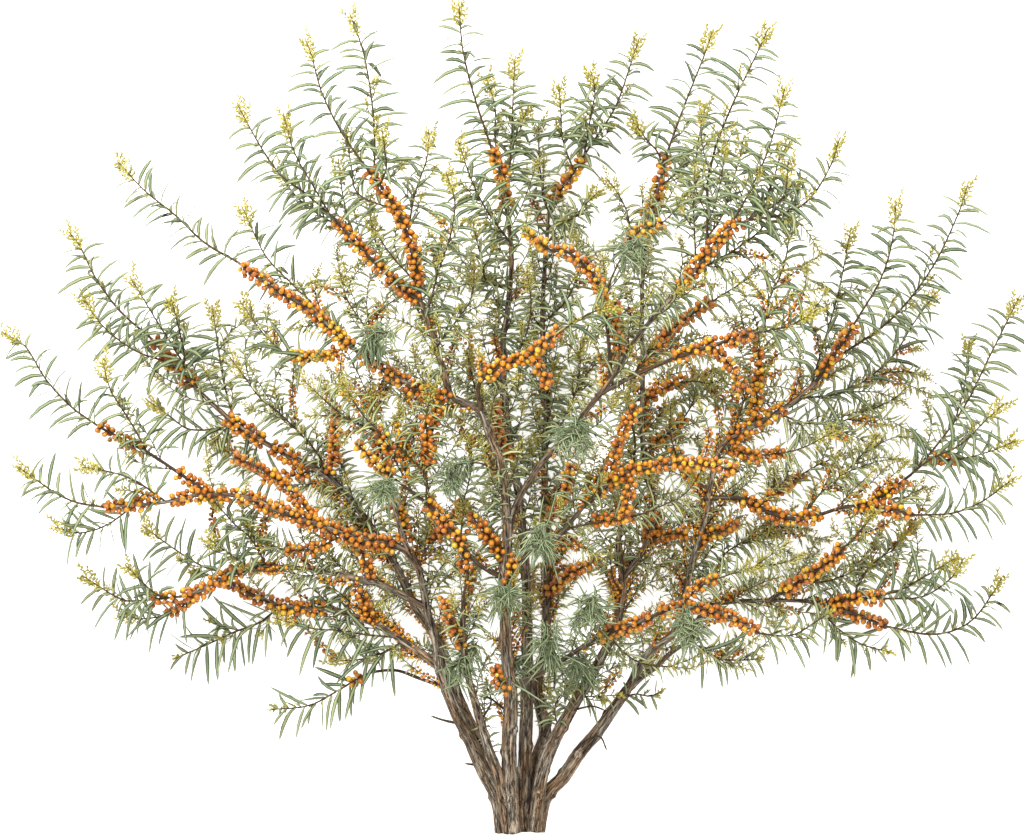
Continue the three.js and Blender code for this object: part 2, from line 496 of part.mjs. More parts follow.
/** The one body of a join that matters: loose scraps and sealed hollows go. */
function mainBody(solid) {
  const bodies = solid.decompose();
  bodies.sort((a, b) => b.volume() - a.volume());
  return bodies[0];
}

/** Cuts the space of every nearby branch of these, widened by the gap, out of a solid. */
function clearOf(solid, list) {
  const box = solid.boundingBox();
  let left = solid;
  for (const branch of list) {
    const cutter = wholeTube(branch, CUT_GAP);
    const other = cutter.boundingBox();
    const meets = (axis) => box.min[axis] < other.max[axis] && box.max[axis] > other.min[axis];
    if ([0, 1, 2].every(meets)) {
      left = left.subtract(cutter);
    }
  }
  return left;
}

// ---------------------------------------------------------------- leaves
/** The place just under the middle of the twig's face that looks most nearly outward. */
function rootOnFace(station, outward) {
  const faces = Array.from({ length: TWIG_SIDES }, (_, k) => {
    const turn = (2 * Math.PI * (k + 0.5)) / TWIG_SIDES;
    const normal = station.side.clone().multiplyScalar(Math.cos(turn));
    return normal.addScaledVector(station.rise, Math.sin(turn));
  });
  faces.sort((a, b) => b.dot(outward) - a.dot(outward));
  const faceDepth = station.radius * TWIG_SWELL * Math.cos(Math.PI / TWIG_SIDES);
  return along(station.centre, faces[0], faceDepth * LEAF_SEAT);
}

/** Root, middle and tip of a leaf's midline, and its unit width direction. */
function leafShape(station, turn, length) {
  const { direction } = station;
  const across = levelAcross(direction);
  const over = new THREE.Vector3().crossVectors(across, direction);
  const outward = across.multiplyScalar(Math.cos(turn)).addScaledVector(over, Math.sin(turn));
  const centre = rootOnFace(station, outward);
  const onward = direction.clone().multiplyScalar(Math.cos(LEAF_ANGLE));
  const young = along(onward, outward, Math.sin(LEAF_ANGLE));
  const arch = outward.clone().multiplyScalar(ARCH_OUT).addScaledVector(GROWN_DOWN, ARCH_DOWN).normalize();
  const midline = [0, LEAF_WIDEST, 1].map((t) => {
    const point = along(centre, young, length * (t - LEAF_SLOWING * t * t));
    return point.addScaledVector(arch, length * LEAF_ARCH * t * t);
  });
  midline[1].z = Math.max(midline[1].z, FLOOR + LEAF_WIDTH / 2);
  midline[2].z = Math.max(midline[2].z, FLOOR);
  const run = midline[2].clone().sub(midline[0]).normalize();
  const facing = new THREE.Vector3().crossVectors(run, UP).multiplyScalar(FACE_UP);
  facing.addScaledVector(new THREE.Vector3().crossVectors(run, direction), FACE_OUT);
  return { midline, width: facing.normalize(), run };
}

/** A three-sided blade, widest at its middle station, its root sunk in the twig. */
function blade({ midline, width, run }, size) {
  const [root, middle, tip] = midline;
  const back = new THREE.Vector3().crossVectors(run, width).normalize();
  const section = (centre, wide, thick) => [
    along(centre, width, wide / 2),
    along(centre, back, thick / 2),
    along(centre, width, -wide / 2),
  ];
  return skinned([
    section(root, LEAF_WIDTH * size * LEAF_ROOT, LEAF_THICKNESS * LEAF_ROOT),
    section(middle, LEAF_WIDTH * size, LEAF_THICKNESS),
    [tip],
  ]);
}

/** The leaves of a shoot that find a clear place, as solids. */
function leavesOn(shoot, node) {
  const made = [];
  const first = shoot.parent.kind === SHOOT_KIND ? FIRST_SIDE_LEAF : FIRST_LEAF;
  for (let k = 0; first + k * LEAF_PITCH < shoot.length - END_MARGIN; k += shoot.kind.leafEvery) {
    const distance = first + k * LEAF_PITCH;
    const toTip = Math.min(1, (shoot.length - distance) / TIP_TAPER);
    const size = (TIP_SIZE + (1 - TIP_SIZE) * toTip) * (SIZE_LOW + SIZE_SPREAD * chance(k, shoot.seed));
    const turn = k * GOLDEN_ANGLE + shoot.seed;
    const shape = clearLeaf(stationAt(shoot, distance), turn, LEAF_LENGTH * size, node);
    if (shape) {
      made.push(blade(shape, Math.min(1, NARROWEST + size * (1 - NARROWEST))));
    }
  }
  return made;
}

/** The first turn of a leaf that touches nothing: it is taken, and its shape returned. */
function clearLeaf(station, turn, length, node) {
  for (const change of TURNS_TRIED) {
    const shape = leafShape(station, turn + change, length);
    const [root, middle, tip] = shape.midline;
    const free = root.clone().lerp(middle, FREE_FROM);
    const own = [twigOf(node)];
    if (isClear(free, middle, LEAF_WIDTH / 2, own) && isClear(middle, tip, LEAF_WIDTH / 2, own)) {
      take(free, middle, LEAF_WIDTH / 2, node);
      take(middle, tip, LEAF_WIDTH / 4, node);
      return shape;
    }
  }
  return null;
}

// ---------------------------------------------------------------- berries
/** The middle of a berry that presses against a branch at a distance along it. */
function berryPlace(branch, distance, turn) {
  const station = stationAt(branch, distance);
  const reach = station.radius + 2 * GAP + BERRY_RADIUS;
  const centre = along(station.centre, station.side, Math.cos(turn) * reach);
  centre.addScaledVector(station.rise, Math.sin(turn) * reach);
  centre.z = Math.max(centre.z, FLOOR + BERRY_RADIUS);
  return centre;
}

/** Berries in a spiral round a branch, each pressed into the next, clear of the branch itself. */
function clusterSolid(branch, from, to, node) {
  const centres = [];
  let turn = branch.seed;
  let distance = from;
  while (distance < to && centres.length < CLUSTER_MOST) {
    const last = centres[centres.length - 1];
    const next = BERRY_TURNS.map((steps) => turn + BERRY_TURN * steps).find((angle) => {
      const middle = berryPlace(branch, distance, angle);
      const touches = !last || middle.distanceTo(last) < 2 * BERRY_RADIUS;
      return touches && isClear(middle, middle, BERRY_RADIUS, [node, woodOf(branch)]);
    });
    if (next !== undefined) {
      turn = next;
      centres.push(berryPlace(branch, distance, turn));
    } else if (centres.length > 0) {
      break;
    }
    const round = 2 * (stationAt(branch, distance).radius + BERRY_RADIUS) * Math.sin(BERRY_TURN / 2);
    distance += Math.sqrt(BERRY_SPACING ** 2 - round ** 2);
  }
  centres.forEach((middle) => take(middle, middle, BERRY_RADIUS, node));
  return stringOfBerries(centres);
}

/** Berries pressed pole to pole in one body: a narrow neck between two, and two rings of corners each. */
function stringOfBerries(centres) {
  const line = new THREE.CatmullRomCurve3(centres, false, "catmullrom", 0.5);
  const last = centres.length - 1;
  const rings = [];
  let side = new THREE.Vector3().crossVectors(centres[1].clone().sub(centres[0]), GROWN_DOWN);
  const addRing = (centre, run, radius, twist) => {
    side = along(side, run, -side.dot(run)).normalize();
    const rise = new THREE.Vector3().crossVectors(run, side);
    rings.push(
      Array.from({ length: BERRY_SIDES }, (_, k) => {
        const turn = (2 * Math.PI * (k + twist)) / BERRY_SIDES;
        return along(centre, side, Math.cos(turn) * radius).addScaledVector(rise, Math.sin(turn) * radius);
      }),
    );
  };
  centres.forEach((centre, k) => {
    const run = line.getTangent(k / last);
    const offset = BERRY_RADIUS * BERRY_RING;
    const ringRadius = Math.sqrt(BERRY_RADIUS ** 2 - offset ** 2);
    if (k === 0) {
      addRing(along(centre, run, -BERRY_RADIUS * BERRY_POLE), run, BERRY_NECK, 0);
    }
    addRing(along(centre, run, -offset), run, ringRadius, 0);
    addRing(along(centre, run, offset), run, ringRadius, 0.5);
    if (k === last) {
      addRing(along(centre, run, BERRY_RADIUS * BERRY_POLE), run, BERRY_NECK, 0.5);
    } else {
      const neckRun = centres[k + 1].clone().sub(centre).normalize();
      addRing(centre.clone().lerp(centres[k + 1], 0.5), neckRun, BERRY_NECK, 0.5);
    }
  });
  return skinned(rings);
}

// ---------------------------------------------------------------- assembly
const bush = new THREE.Group();

function addNode(name, solid, material) {
  const mesh = mainBody(solid).asOriginal().simplify(FLATNESS).getMesh();
  const geometry = new THREE.BufferGeometry();
  geometry.setAttribute("position", new THREE.BufferAttribute(new Float32Array(mesh.vertProperties), 3));
  geometry.setIndex(new THREE.BufferAttribute(new Uint32Array(mesh.triVerts), 1));
  const node = new THREE.Mesh(geometry, material);
  node.name = name;
  bush.add(node);
}

/** Everything in front of the flat cut through the stems. */
function belowCut() {
  const square = (y) => [[-1, -1], [-1, 1], [1, 1], [1, -1]].map(
    ([x, z]) => new THREE.Vector3(x * CUT_REACH, y, z * CUT_REACH),
  );
  return skinned([square(-CUT_DEPTH), square(0)]);
}

/** Every stem and limb, and the thin shoots inside the crown, without their leaves. */
function layWood() {
  const wood = [];
  for (const [name, startRadius, endRadius, startHeight, endHeight, route] of STEMS) {
    wood.push(addBranch(name, null, [startRadius, endRadius], [startHeight, endHeight], route, STEM_KIND));
  }
  for (const [rows, kind] of [[LIMBS, LIMB_KIND], [INNER_SHOOTS, INNER_KIND]]) {
    for (const [name, parent, startRadius, endRadius, endHeight, route] of rows) {
      const from = branches.get(parent);
      wood.push(addBranch(name, from, [startRadius, endRadius], [null, endHeight], route, kind));
    }
  }
  wood.forEach((branch) => takeBranch(branch, woodOf(branch)));
  return wood;
}

/** The wood, all fused, with the leaves of its thin shoots and the flat cut. */
function addWood(wood) {
  const inner = wood.filter((branch) => branch.kind === INNER_KIND);
  const leaves = inner.flatMap((shoot) => leavesOn(shoot, woodOf(shoot)));
  const joined = wasm.Manifold.union([...wood.map((branch) => wholeTube(branch, 0)), ...leaves]);
  addNode("woody_frame", joined.subtract(belowCut()), BARK);
}

/** The twigs of the leafy shoots, a list for each spray. */
function layShoots() {
  const sprays = new Map();
  for (const [name, parent, startRadius, endRadius, endHeight, route] of SHOOTS) {
    const host = branches.get(SHOOT_KIND.prefix + parent);
    const fromShoot = name.startsWith(parent + "_");
    const from = fromShoot ? host : branches.get(parent);
    const shoot = addBranch(name, from, [startRadius, endRadius], [null, endHeight], route, SHOOT_KIND);
    shoot.node = fromShoot ? host.node : "leafy_spray_" + name;
    sprays.set(shoot.node, [...(sprays.get(shoot.node) ?? []), shoot]);
    takeBranch(shoot, twigOf(shoot.node));
  }
  return sprays;
}

function addClusters() {
  for (const [name, carrier, start, end] of CLUSTERS) {
    const branch = branches.get(carrier);
    const node = "berry_cluster_" + name;
    const from = nearestOn(branch, start[0] * GRID, start[1] * GRID).distance;
    const to = nearestOn(branch, end[0] * GRID, end[1] * GRID).distance;
    addNode(node, clusterSolid(branch, from, to, node), BERRY);
  }
}

/** Each spray: its twigs, which start just clear of the wood, and their leaves. */
function addSprays(sprays, wood) {
  for (const [node, shoots] of sprays) {
    const twigs = shoots.map((shoot) => {
      const onWood = shoot.parent.kind !== SHOOT_KIND;
      return tube(shoot, 0, shoot.length, 0, onWood ? startPlane(shoot) : null);
    });
    const leaves = shoots.flatMap((shoot) => leavesOn(shoot, node));
    addNode(node, clearOf(wasm.Manifold.union([...twigs, ...leaves]), wood), LEAF);
  }
}

const wood = layWood();
const sprays = layShoots();
addClusters();
addWood(wood);
addSprays(sprays, wood);
bush.position.set(-CUT_TO_CENTRE[0], -CUT_TO_CENTRE[1], 0);

export default bush;
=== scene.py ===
"""Sea buckthorn bush, cut off above its roots and lying on its back, seen from straight above.

The stems, limbs and shoots follow the same routes as the solids. Every limb and shoot here is a
smooth curve, so the bark, leaves, buds and berries that it carries sit on it.
"""

import json
import math
from collections import namedtuple

import bpy
import numpy as np
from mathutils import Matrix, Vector

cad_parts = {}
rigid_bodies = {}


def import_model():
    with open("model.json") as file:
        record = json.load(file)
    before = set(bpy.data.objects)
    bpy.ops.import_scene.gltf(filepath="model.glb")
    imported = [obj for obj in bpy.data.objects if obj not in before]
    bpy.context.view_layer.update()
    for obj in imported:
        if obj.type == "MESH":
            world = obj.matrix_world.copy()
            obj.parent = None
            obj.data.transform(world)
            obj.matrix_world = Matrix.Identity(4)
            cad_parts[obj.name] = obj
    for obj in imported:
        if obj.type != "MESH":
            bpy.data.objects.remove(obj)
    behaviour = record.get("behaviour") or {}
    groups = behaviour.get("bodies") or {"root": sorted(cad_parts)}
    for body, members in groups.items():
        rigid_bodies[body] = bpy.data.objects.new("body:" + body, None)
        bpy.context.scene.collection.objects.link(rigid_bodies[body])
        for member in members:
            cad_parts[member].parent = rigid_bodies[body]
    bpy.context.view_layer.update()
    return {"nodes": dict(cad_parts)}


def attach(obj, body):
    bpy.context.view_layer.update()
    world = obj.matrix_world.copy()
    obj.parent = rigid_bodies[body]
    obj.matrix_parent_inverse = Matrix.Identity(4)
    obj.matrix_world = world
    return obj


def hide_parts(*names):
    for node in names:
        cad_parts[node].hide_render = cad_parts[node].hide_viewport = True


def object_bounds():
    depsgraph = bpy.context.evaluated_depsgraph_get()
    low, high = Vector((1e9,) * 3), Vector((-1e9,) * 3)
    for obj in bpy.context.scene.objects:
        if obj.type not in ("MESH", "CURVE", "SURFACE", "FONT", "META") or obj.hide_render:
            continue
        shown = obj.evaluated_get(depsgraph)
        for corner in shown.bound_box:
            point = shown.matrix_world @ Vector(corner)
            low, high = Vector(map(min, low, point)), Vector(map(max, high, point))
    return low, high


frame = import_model()

# ---------------------------------------------------------------- driving dimensions, in millimetres
MM = 0.001
GRID = 5.0  # the routes are drawn on a grid of this step, from the middle of the cut
CUT_TO_CENTRE = np.array([-5.516, 518.801, 0.0])
EARLY_RISE = 1.25  # a limb gains height faster near its fork than near its tip
FLOOR = 0.0
SEED = 11

LEAF_LENGTH = 39.0
LEAF_WIDTH = 5.2
LEAF_PITCH = 4.9  # along the twig, in the spiral of leaves
LEAF_ANGLE = 0.85  # radians between a twig and a young leaf
LEAF_ARCH = 0.62
LEAF_FLATTEN = 0.65  # how much of its spiral a leaf keeps in depth
GOLDEN_ANGLE = math.pi * (3 - math.sqrt(5))
GROWN_DOWN = np.array([0.0, -1.0, 0.0])
UP = np.array([0.0, 0.0, 1.0])
STEEP = 0.9  # the rise of a direction above which it counts as upright

BERRY_RADIUS = 3.85

# ---------------------------------------------------------------- routes
# Each row: name, radius at its start and its end, height at its start and its end, route.
STEMS = [
    ("S1", 9, 2.6, 26, 150, [(-4, 0), (-5.5, 9), (-9, 16), (-12.5, 24), (-16, 31), (-18, 36), (-20, 42),
     (-21, 49), (-23, 56), (-25, 66), (-29, 74), (-30.5, 80), (-32, 85)]),
    ("L5", 7.5, 1.9, 14, 70, [(-2.5, 0), (-3, 9), (-6.5, 15), (-10, 22.5), (-14, 31), (-16, 36), (-18.5, 44),
     (-22, 51), (-26, 57), (-32, 69), (-40, 81), (-45, 87), (-50, 91), (-60, 96), (-68.5, 101), (-76, 107),
     (-85, 116), (-92, 124)]),
    ("S2", 7, 2.4, 40, 180, [(-2.5, 0), (-5, 14), (-8, 22.5), (-11.5, 35), (-13, 41), (-14, 49), (-14, 59)]),
    ("S3", 9, 4.6, 44, 240, [(-1.5, 0), (-2.5, 19), (-2, 34), (-3, 44), (-3.5, 54), (-3.5, 66), (-3, 76),
     (-3.5, 86), (-5, 94), (-7, 99), (-9.5, 106)]),
    ("S4", 8, 1.9, 20, 150, [(1, 0), (1.5, 19), (2, 34), (2, 56), (1.5, 69), (0, 84), (-3, 104), (-4, 122),
     (-3, 130), (-2, 140), (-2, 147), (-3.5, 160), (-5, 167), (-7, 172)]),
    ("S5", 7.5, 1.8, 10, 30, [(2.5, 0), (3, 11), (4.5, 19), (6.5, 25), (5.5, 31), (4.5, 36), (5, 41),
     (6.5, 46), (7, 59), (7, 71), (6.5, 84), (6.5, 98), (7, 108), (6, 124), (6, 134), (7, 149), (8, 158),
     (12.5, 164)]),
    ("S6", 8.5, 2.4, 32, 120, [(4, 0), (5.5, 14), (8.5, 22.5), (13, 31), (16, 36), (21, 45), (24, 51),
     (26, 59), (26, 64), (25, 71), (25.5, 78), (28, 89)]),
    ("S7", 9, 5.6, 16, 40, [(4.5, 0), (6.5, 9), (11, 14), (15, 20), (20, 26), (27, 36)]),
]

# Each row: name, what it grows from, radius at its start and its end, height of its end, route.
LIMBS = [
    ("crown", "S4", 13, 11, 24, [(0.5, 0), (0.5, 4), (0.5, 8)]),
    ("F1", "S3", 4.6, 3, 270, [(-9.5, 106), (-12, 107.5), (-17, 110), (-19, 116.5), (-22, 126),
     (-24.5, 133)]),
    ("L6", "F1", 3.6, 1.8, 225, [(-17, 110), (-25, 111.5), (-35, 117), (-43.5, 123.5), (-52, 131), (-62, 137),
     (-70, 143)]),
    ("C1", "S3", 3, 1.6, 330, [(-9.5, 106), (-10, 112.5), (-5, 117), (2.5, 120), (10, 126)]),
    ("L8", "F1", 2.6, 1.7, 290, [(-24.5, 133), (-30, 137.5), (-36, 143), (-42, 149.5), (-46, 154)]),
    ("L9", "F1", 2.6, 1.7, 335, [(-24.5, 133), (-26, 143), (-29, 153), (-33, 160), (-38, 166.5)]),
    ("R1", "S3", 4.4, 2, 330, [(-3, 72), (-1, 82), (5, 92), (15, 104), (23, 114), (30, 125), (39.5, 136),
     (46.5, 144.5), (52, 151), (57, 153.5)]),
    ("R3", "R1", 2, 1.5, 300, [(46.5, 144.5), (47, 155), (47, 163), (49, 172)]),
    ("C2", "R1", 2.6, 1.6, 300, [(22.5, 114), (22, 126), (19.5, 138), (13, 145), (8, 146)]),
    ("R5", "R1", 3, 1.7, 285, [(20, 110.5), (28, 114.5), (38.5, 119), (48.5, 122.5), (59.5, 125.5)]),
    ("R2", "S6", 4, 1.8, 55, [(26, 64), (31, 71), (34, 80), (32, 90), (31, 99), (31, 119), (31, 140),
     (33.5, 155), (37, 170.5)]),
    ("R10", "S7", 5.4, 2, 190, [(27, 36), (33, 46), (39.5, 51.5), (43, 66.5), (47, 80), (50, 96), (59, 102.5),
     (68, 108), (77, 116), (80.5, 120)]),
    ("R10b", "R10", 2, 1.7, 225, [(74, 113.5), (79.5, 121), (83.5, 127.5)]),
    ("S7low", "S7", 4.2, 2.6, 26, [(27, 36), (30.5, 39), (34, 41.5), (39, 46), (43, 48)]),
    ("Rlow", "S7low", 3.2, 1.8, 60, [(42, 47.5), (46.5, 56), (52.5, 58), (63, 58.5), (74, 58), (84.5, 55),
     (92, 52)]),
    ("R14", "Rlow", 1.9, 1.5, 95, [(77, 57.5), (84, 59), (92, 59)]),
    ("R12", "Rlow", 2, 1.6, 130, [(63, 58.5), (70, 63), (78, 68.5), (81, 71.5)]),
    ("R7", "S3", 3.4, 1.5, 300, [(-3.5, 66), (3, 71), (10, 75), (16.5, 82.5), (25.5, 90), (33, 92), (45, 93),
     (54.5, 91)]),
    ("R13", "R10", 3, 1.6, 165, [(48, 84), (55.5, 84), (63, 80.5), (71, 79), (81.5, 82), (89, 82), (99, 80)]),
    ("R9", "R13", 2, 1.7, 130, [(85.5, 82.3), (92, 85.5), (98, 90)]),
    ("B", "S3", 3.4, 1.7, 225, [(-2.5, 37), (9, 42.5), (20, 49.5), (29.5, 53), (40, 57), (50, 55.5),
     (60, 50.5)]),
    ("L0", "S1", 2.4, 1.6, 48, [(-18.3, 37), (-25, 39), (-31, 41), (-37, 40.5)]),
    ("L1", "S1", 5, 1.8, 50, [(-20, 42), (-28.5, 48), (-37, 53), (-47, 56), (-58.5, 57), (-67, 60),
     (-75, 64)]),
    ("L2", "S1", 4.4, 1.8, 120, [(-23, 57), (-35, 62.5), (-50, 66), (-63.5, 67), (-72, 65), (-80, 61),
     (-85, 59.5)]),
    ("L3", "S1", 4.4, 1.7, 200, [(-25.2, 67), (-30, 72), (-41, 74), (-50, 77.5), (-60, 81), (-68.5, 84.5),
     (-80, 85), (-90, 83), (-104, 82)]),
    ("L4", "L3", 2.3, 1.7, 150, [(-77, 85), (-85, 90.5), (-93.5, 96), (-105, 102)]),
    ("M3", "S3", 3, 1.8, 250, [(-3.5, 64), (-10.5, 68), (-16.5, 75.5), (-22, 82), (-31, 89)]),
    ("snag1", "S1", 1.9, 1.1, 52, [(-14, 27.5), (-19, 28.5), (-22, 29.5)]),
    ("snag2", "L5", 2, 1.2, 26, [(-7, 16), (-10, 17), (-13.5, 17.5)]),
    ("snag3", "S7", 1.8, 0.9, 56, [(13, 17), (15, 22), (20, 24.5), (22, 21)]),
    ("snag4", "S6", 1.8, 1, 84, [(10, 26), (12, 30), (18, 32), (21.5, 31)]),
    ("snag5", "S2", 1.5, 0.9, 96, [(-9.5, 28), (-7, 33), (-8, 37)]),
    ("snag6", "S5", 3.8, 2.6, 34, [(6, 24), (7.5, 27), (8, 29.5)]),
    ("snag7", "S3", 1.6, 1, 66, [(-3.3, 30), (-7.2, 34), (-10.2, 34.6)]),
]

# Leafy shoots. Those of the solids come first, and the thinner ones that fill the crown after them.
SHOOTS = [
    ("L0", "L0", 1.5, 0.9, 16, [(-37, 40.5), (-41, 38.5), (-46, 35.5), (-53, 32), (-62.5, 31)]),
    ("L1b", "L1", 1.6, 0.9, 5, [(-60, 57.5), (-65, 53), (-71.5, 50.5), (-78, 47.5), (-86, 44)]),
    ("L1b_side", "L1b", 1.1, 0.8, 14, [(-70.5, 51), (-75, 52), (-78.5, 53.5)]),
    ("L2", "L2", 1.6, 0.9, 90, [(-85, 59.5), (-95, 58.5), (-100, 59), (-109, 64.5)]),
    ("L2_side", "L2", 1.2, 0.8, 150, [(-89, 59), (-92, 61), (-98, 67)]),
    ("L2c", "L2", 1.4, 0.8, 60, [(-72, 65), (-79, 67), (-86.5, 71.5), (-94, 77)]),
    ("L3", "L3", 1.6, 0.9, 180, [(-104, 82), (-110, 83), (-115, 85), (-121, 89), (-125, 92)]),
    ("L4", "L4", 1.6, 0.9, 105, [(-105, 102), (-112, 107), (-118.5, 114), (-123.5, 122), (-129, 125.5)]),
    ("L5", "L5", 1.7, 0.9, 36, [(-92, 124), (-100, 131), (-106, 139), (-110, 147), (-113, 151)]),
    ("L5c", "L5", 1.5, 0.8, 20, [(-71, 103), (-74, 113), (-75.5, 122), (-77, 132)]),
    ("L5d", "L5", 1.5, 0.8, 120, [(-80, 111), (-86, 121), (-91, 129), (-97, 139)]),
    ("L6", "L6", 1.7, 0.9, 195, [(-70, 143), (-78.5, 148), (-86, 155), (-93.5, 161), (-100, 168)]),
    ("L6b", "L6", 1.6, 0.8, 140, [(-43.5, 123.5), (-51, 132), (-57, 138), (-63.5, 145), (-69, 156.5)]),
    ("L8", "L8", 1.6, 0.9, 270, [(-46, 154), (-53, 160), (-59.5, 165), (-64.5, 172), (-70, 182)]),
    ("L8_side", "L8", 1.3, 0.8, 330, [(-47, 155), (-51, 161.5), (-56, 170.5), (-58.5, 179.5)]),
    ("L9", "L9", 1.6, 0.9, 350, [(-38, 166.5), (-44, 175), (-49, 185), (-51.5, 194), (-53, 198)]),
    ("L10", "L9", 1.6, 0.9, 250, [(-36, 164), (-36, 175), (-37, 185.5), (-39, 196), (-42, 204.5)]),
    ("L12", "L9", 1.4, 0.8, 225, [(-28, 150), (-26, 160), (-23, 169), (-22.5, 175.5)]),
    ("N1", "F1", 1.4, 0.8, 330, [(-23, 129), (-20, 141), (-17, 150), (-16, 158), (-18, 165)]),
    ("C0", "S4", 1.7, 0.9, 170, [(-7, 172), (-11, 184), (-14, 196), (-15, 207.5)]),
    ("C0b", "S4", 1.5, 0.8, 80, [(-3, 157), (-2, 171.5), (-1.5, 184), (-1, 194)]),
    ("UM", "S5", 1.6, 0.9, 16, [(12.5, 164), (17.5, 172), (24, 182), (28, 193), (30, 199)]),
    ("UM_side1", "UM", 1.2, 0.8, 130, [(16.5, 170.5), (18, 180), (19, 186), (18, 191)]),
    ("UM_side2", "UM", 1.2, 0.8, 75, [(13.5, 166), (11, 174), (10.5, 181), (10, 187.5)]),
    ("C1", "C1", 1.5, 0.9, 370, [(10, 126), (14, 128), (18, 130.5), (24, 132)]),
    ("R1", "R1", 1.7, 0.9, 345, [(57, 153.5), (66, 155), (72.5, 159), (77.5, 167), (79.5, 173)]),
    ("R3", "R3", 1.5, 0.9, 270, [(49, 172), (53, 182), (58.5, 193.5), (62, 201)]),
    ("R3b", "R1", 1.5, 0.8, 385, [(52, 151), (57, 160), (62, 171), (65, 182), (66, 186)]),
    ("R3d", "R1", 1.4, 0.8, 210, [(44, 142), (43.5, 159), (44.5, 171.5), (46.5, 182)]),
    ("R5", "R5", 1.5, 0.9, 310, [(59.5, 125.5), (68, 127.5), (74, 131)]),
    ("R5_side", "R5", 1.3, 0.8, 240, [(61, 126), (62.5, 134), (66, 142), (68, 153)]),
    ("R2", "R2", 1.6, 0.9, 14, [(37, 170.5), (42, 184), (46, 194), (48.5, 201)]),
    ("R10", "R10", 1.7, 0.9, 205, [(80.5, 120), (93, 129), (103, 141.5), (110, 156), (112, 162.5)]),
    ("R10b", "R10b", 1.5, 0.8, 275, [(83.5, 127.5), (90, 138.5), (93, 148), (94, 158)]),
    ("R10c", "R10", 1.4, 0.8, 110, [(73, 112), (77, 125.5), (80, 136), (83, 151)]),
    ("R11", "R10", 1.6, 0.8, 16, [(69, 109), (82, 111), (93, 119), (99, 128), (104.5, 135.5)]),
    ("S7low", "S7low", 1.7, 0.9, 8, [(43, 48), (50, 44), (57, 43.5), (61, 44)]),
    ("Rlow", "Rlow", 1.6, 0.9, 40, [(92, 52), (104, 50), (113, 53), (119, 60.5), (121, 64)]),
    ("R14", "R14", 1.4, 0.9, 120, [(92, 59), (101, 59.5), (108, 64), (111, 68.5)]),
    ("R13", "R13", 1.5, 0.9, 150, [(99, 80), (108.5, 80.5), (116, 83.5), (123.5, 89)]),
    ("R9", "R9", 1.6, 0.9, 100, [(98, 90), (105, 98), (112, 108), (118, 120), (125, 134)]),
    ("R9_side1", "R9", 1.2, 0.8, 190, [(102, 94), (110, 94), (118, 96), (124, 98.5)]),
    ("R9_side2", "R9", 1.2, 0.8, 60, [(109, 104), (111.5, 112), (113, 123.5)]),
    ("B", "B", 1.5, 0.9, 215, [(60, 50.5), (68, 50), (75, 54), (78, 56)]),
    ("front1", "M3", 1.4, 0.9, 325, [(-31, 89), (-33, 88.5), (-34.5, 86)]),
    ("front2", "R7", 1.4, 0.9, 285, [(5, 72.3), (5.5, 75.5), (6, 73)]),
]

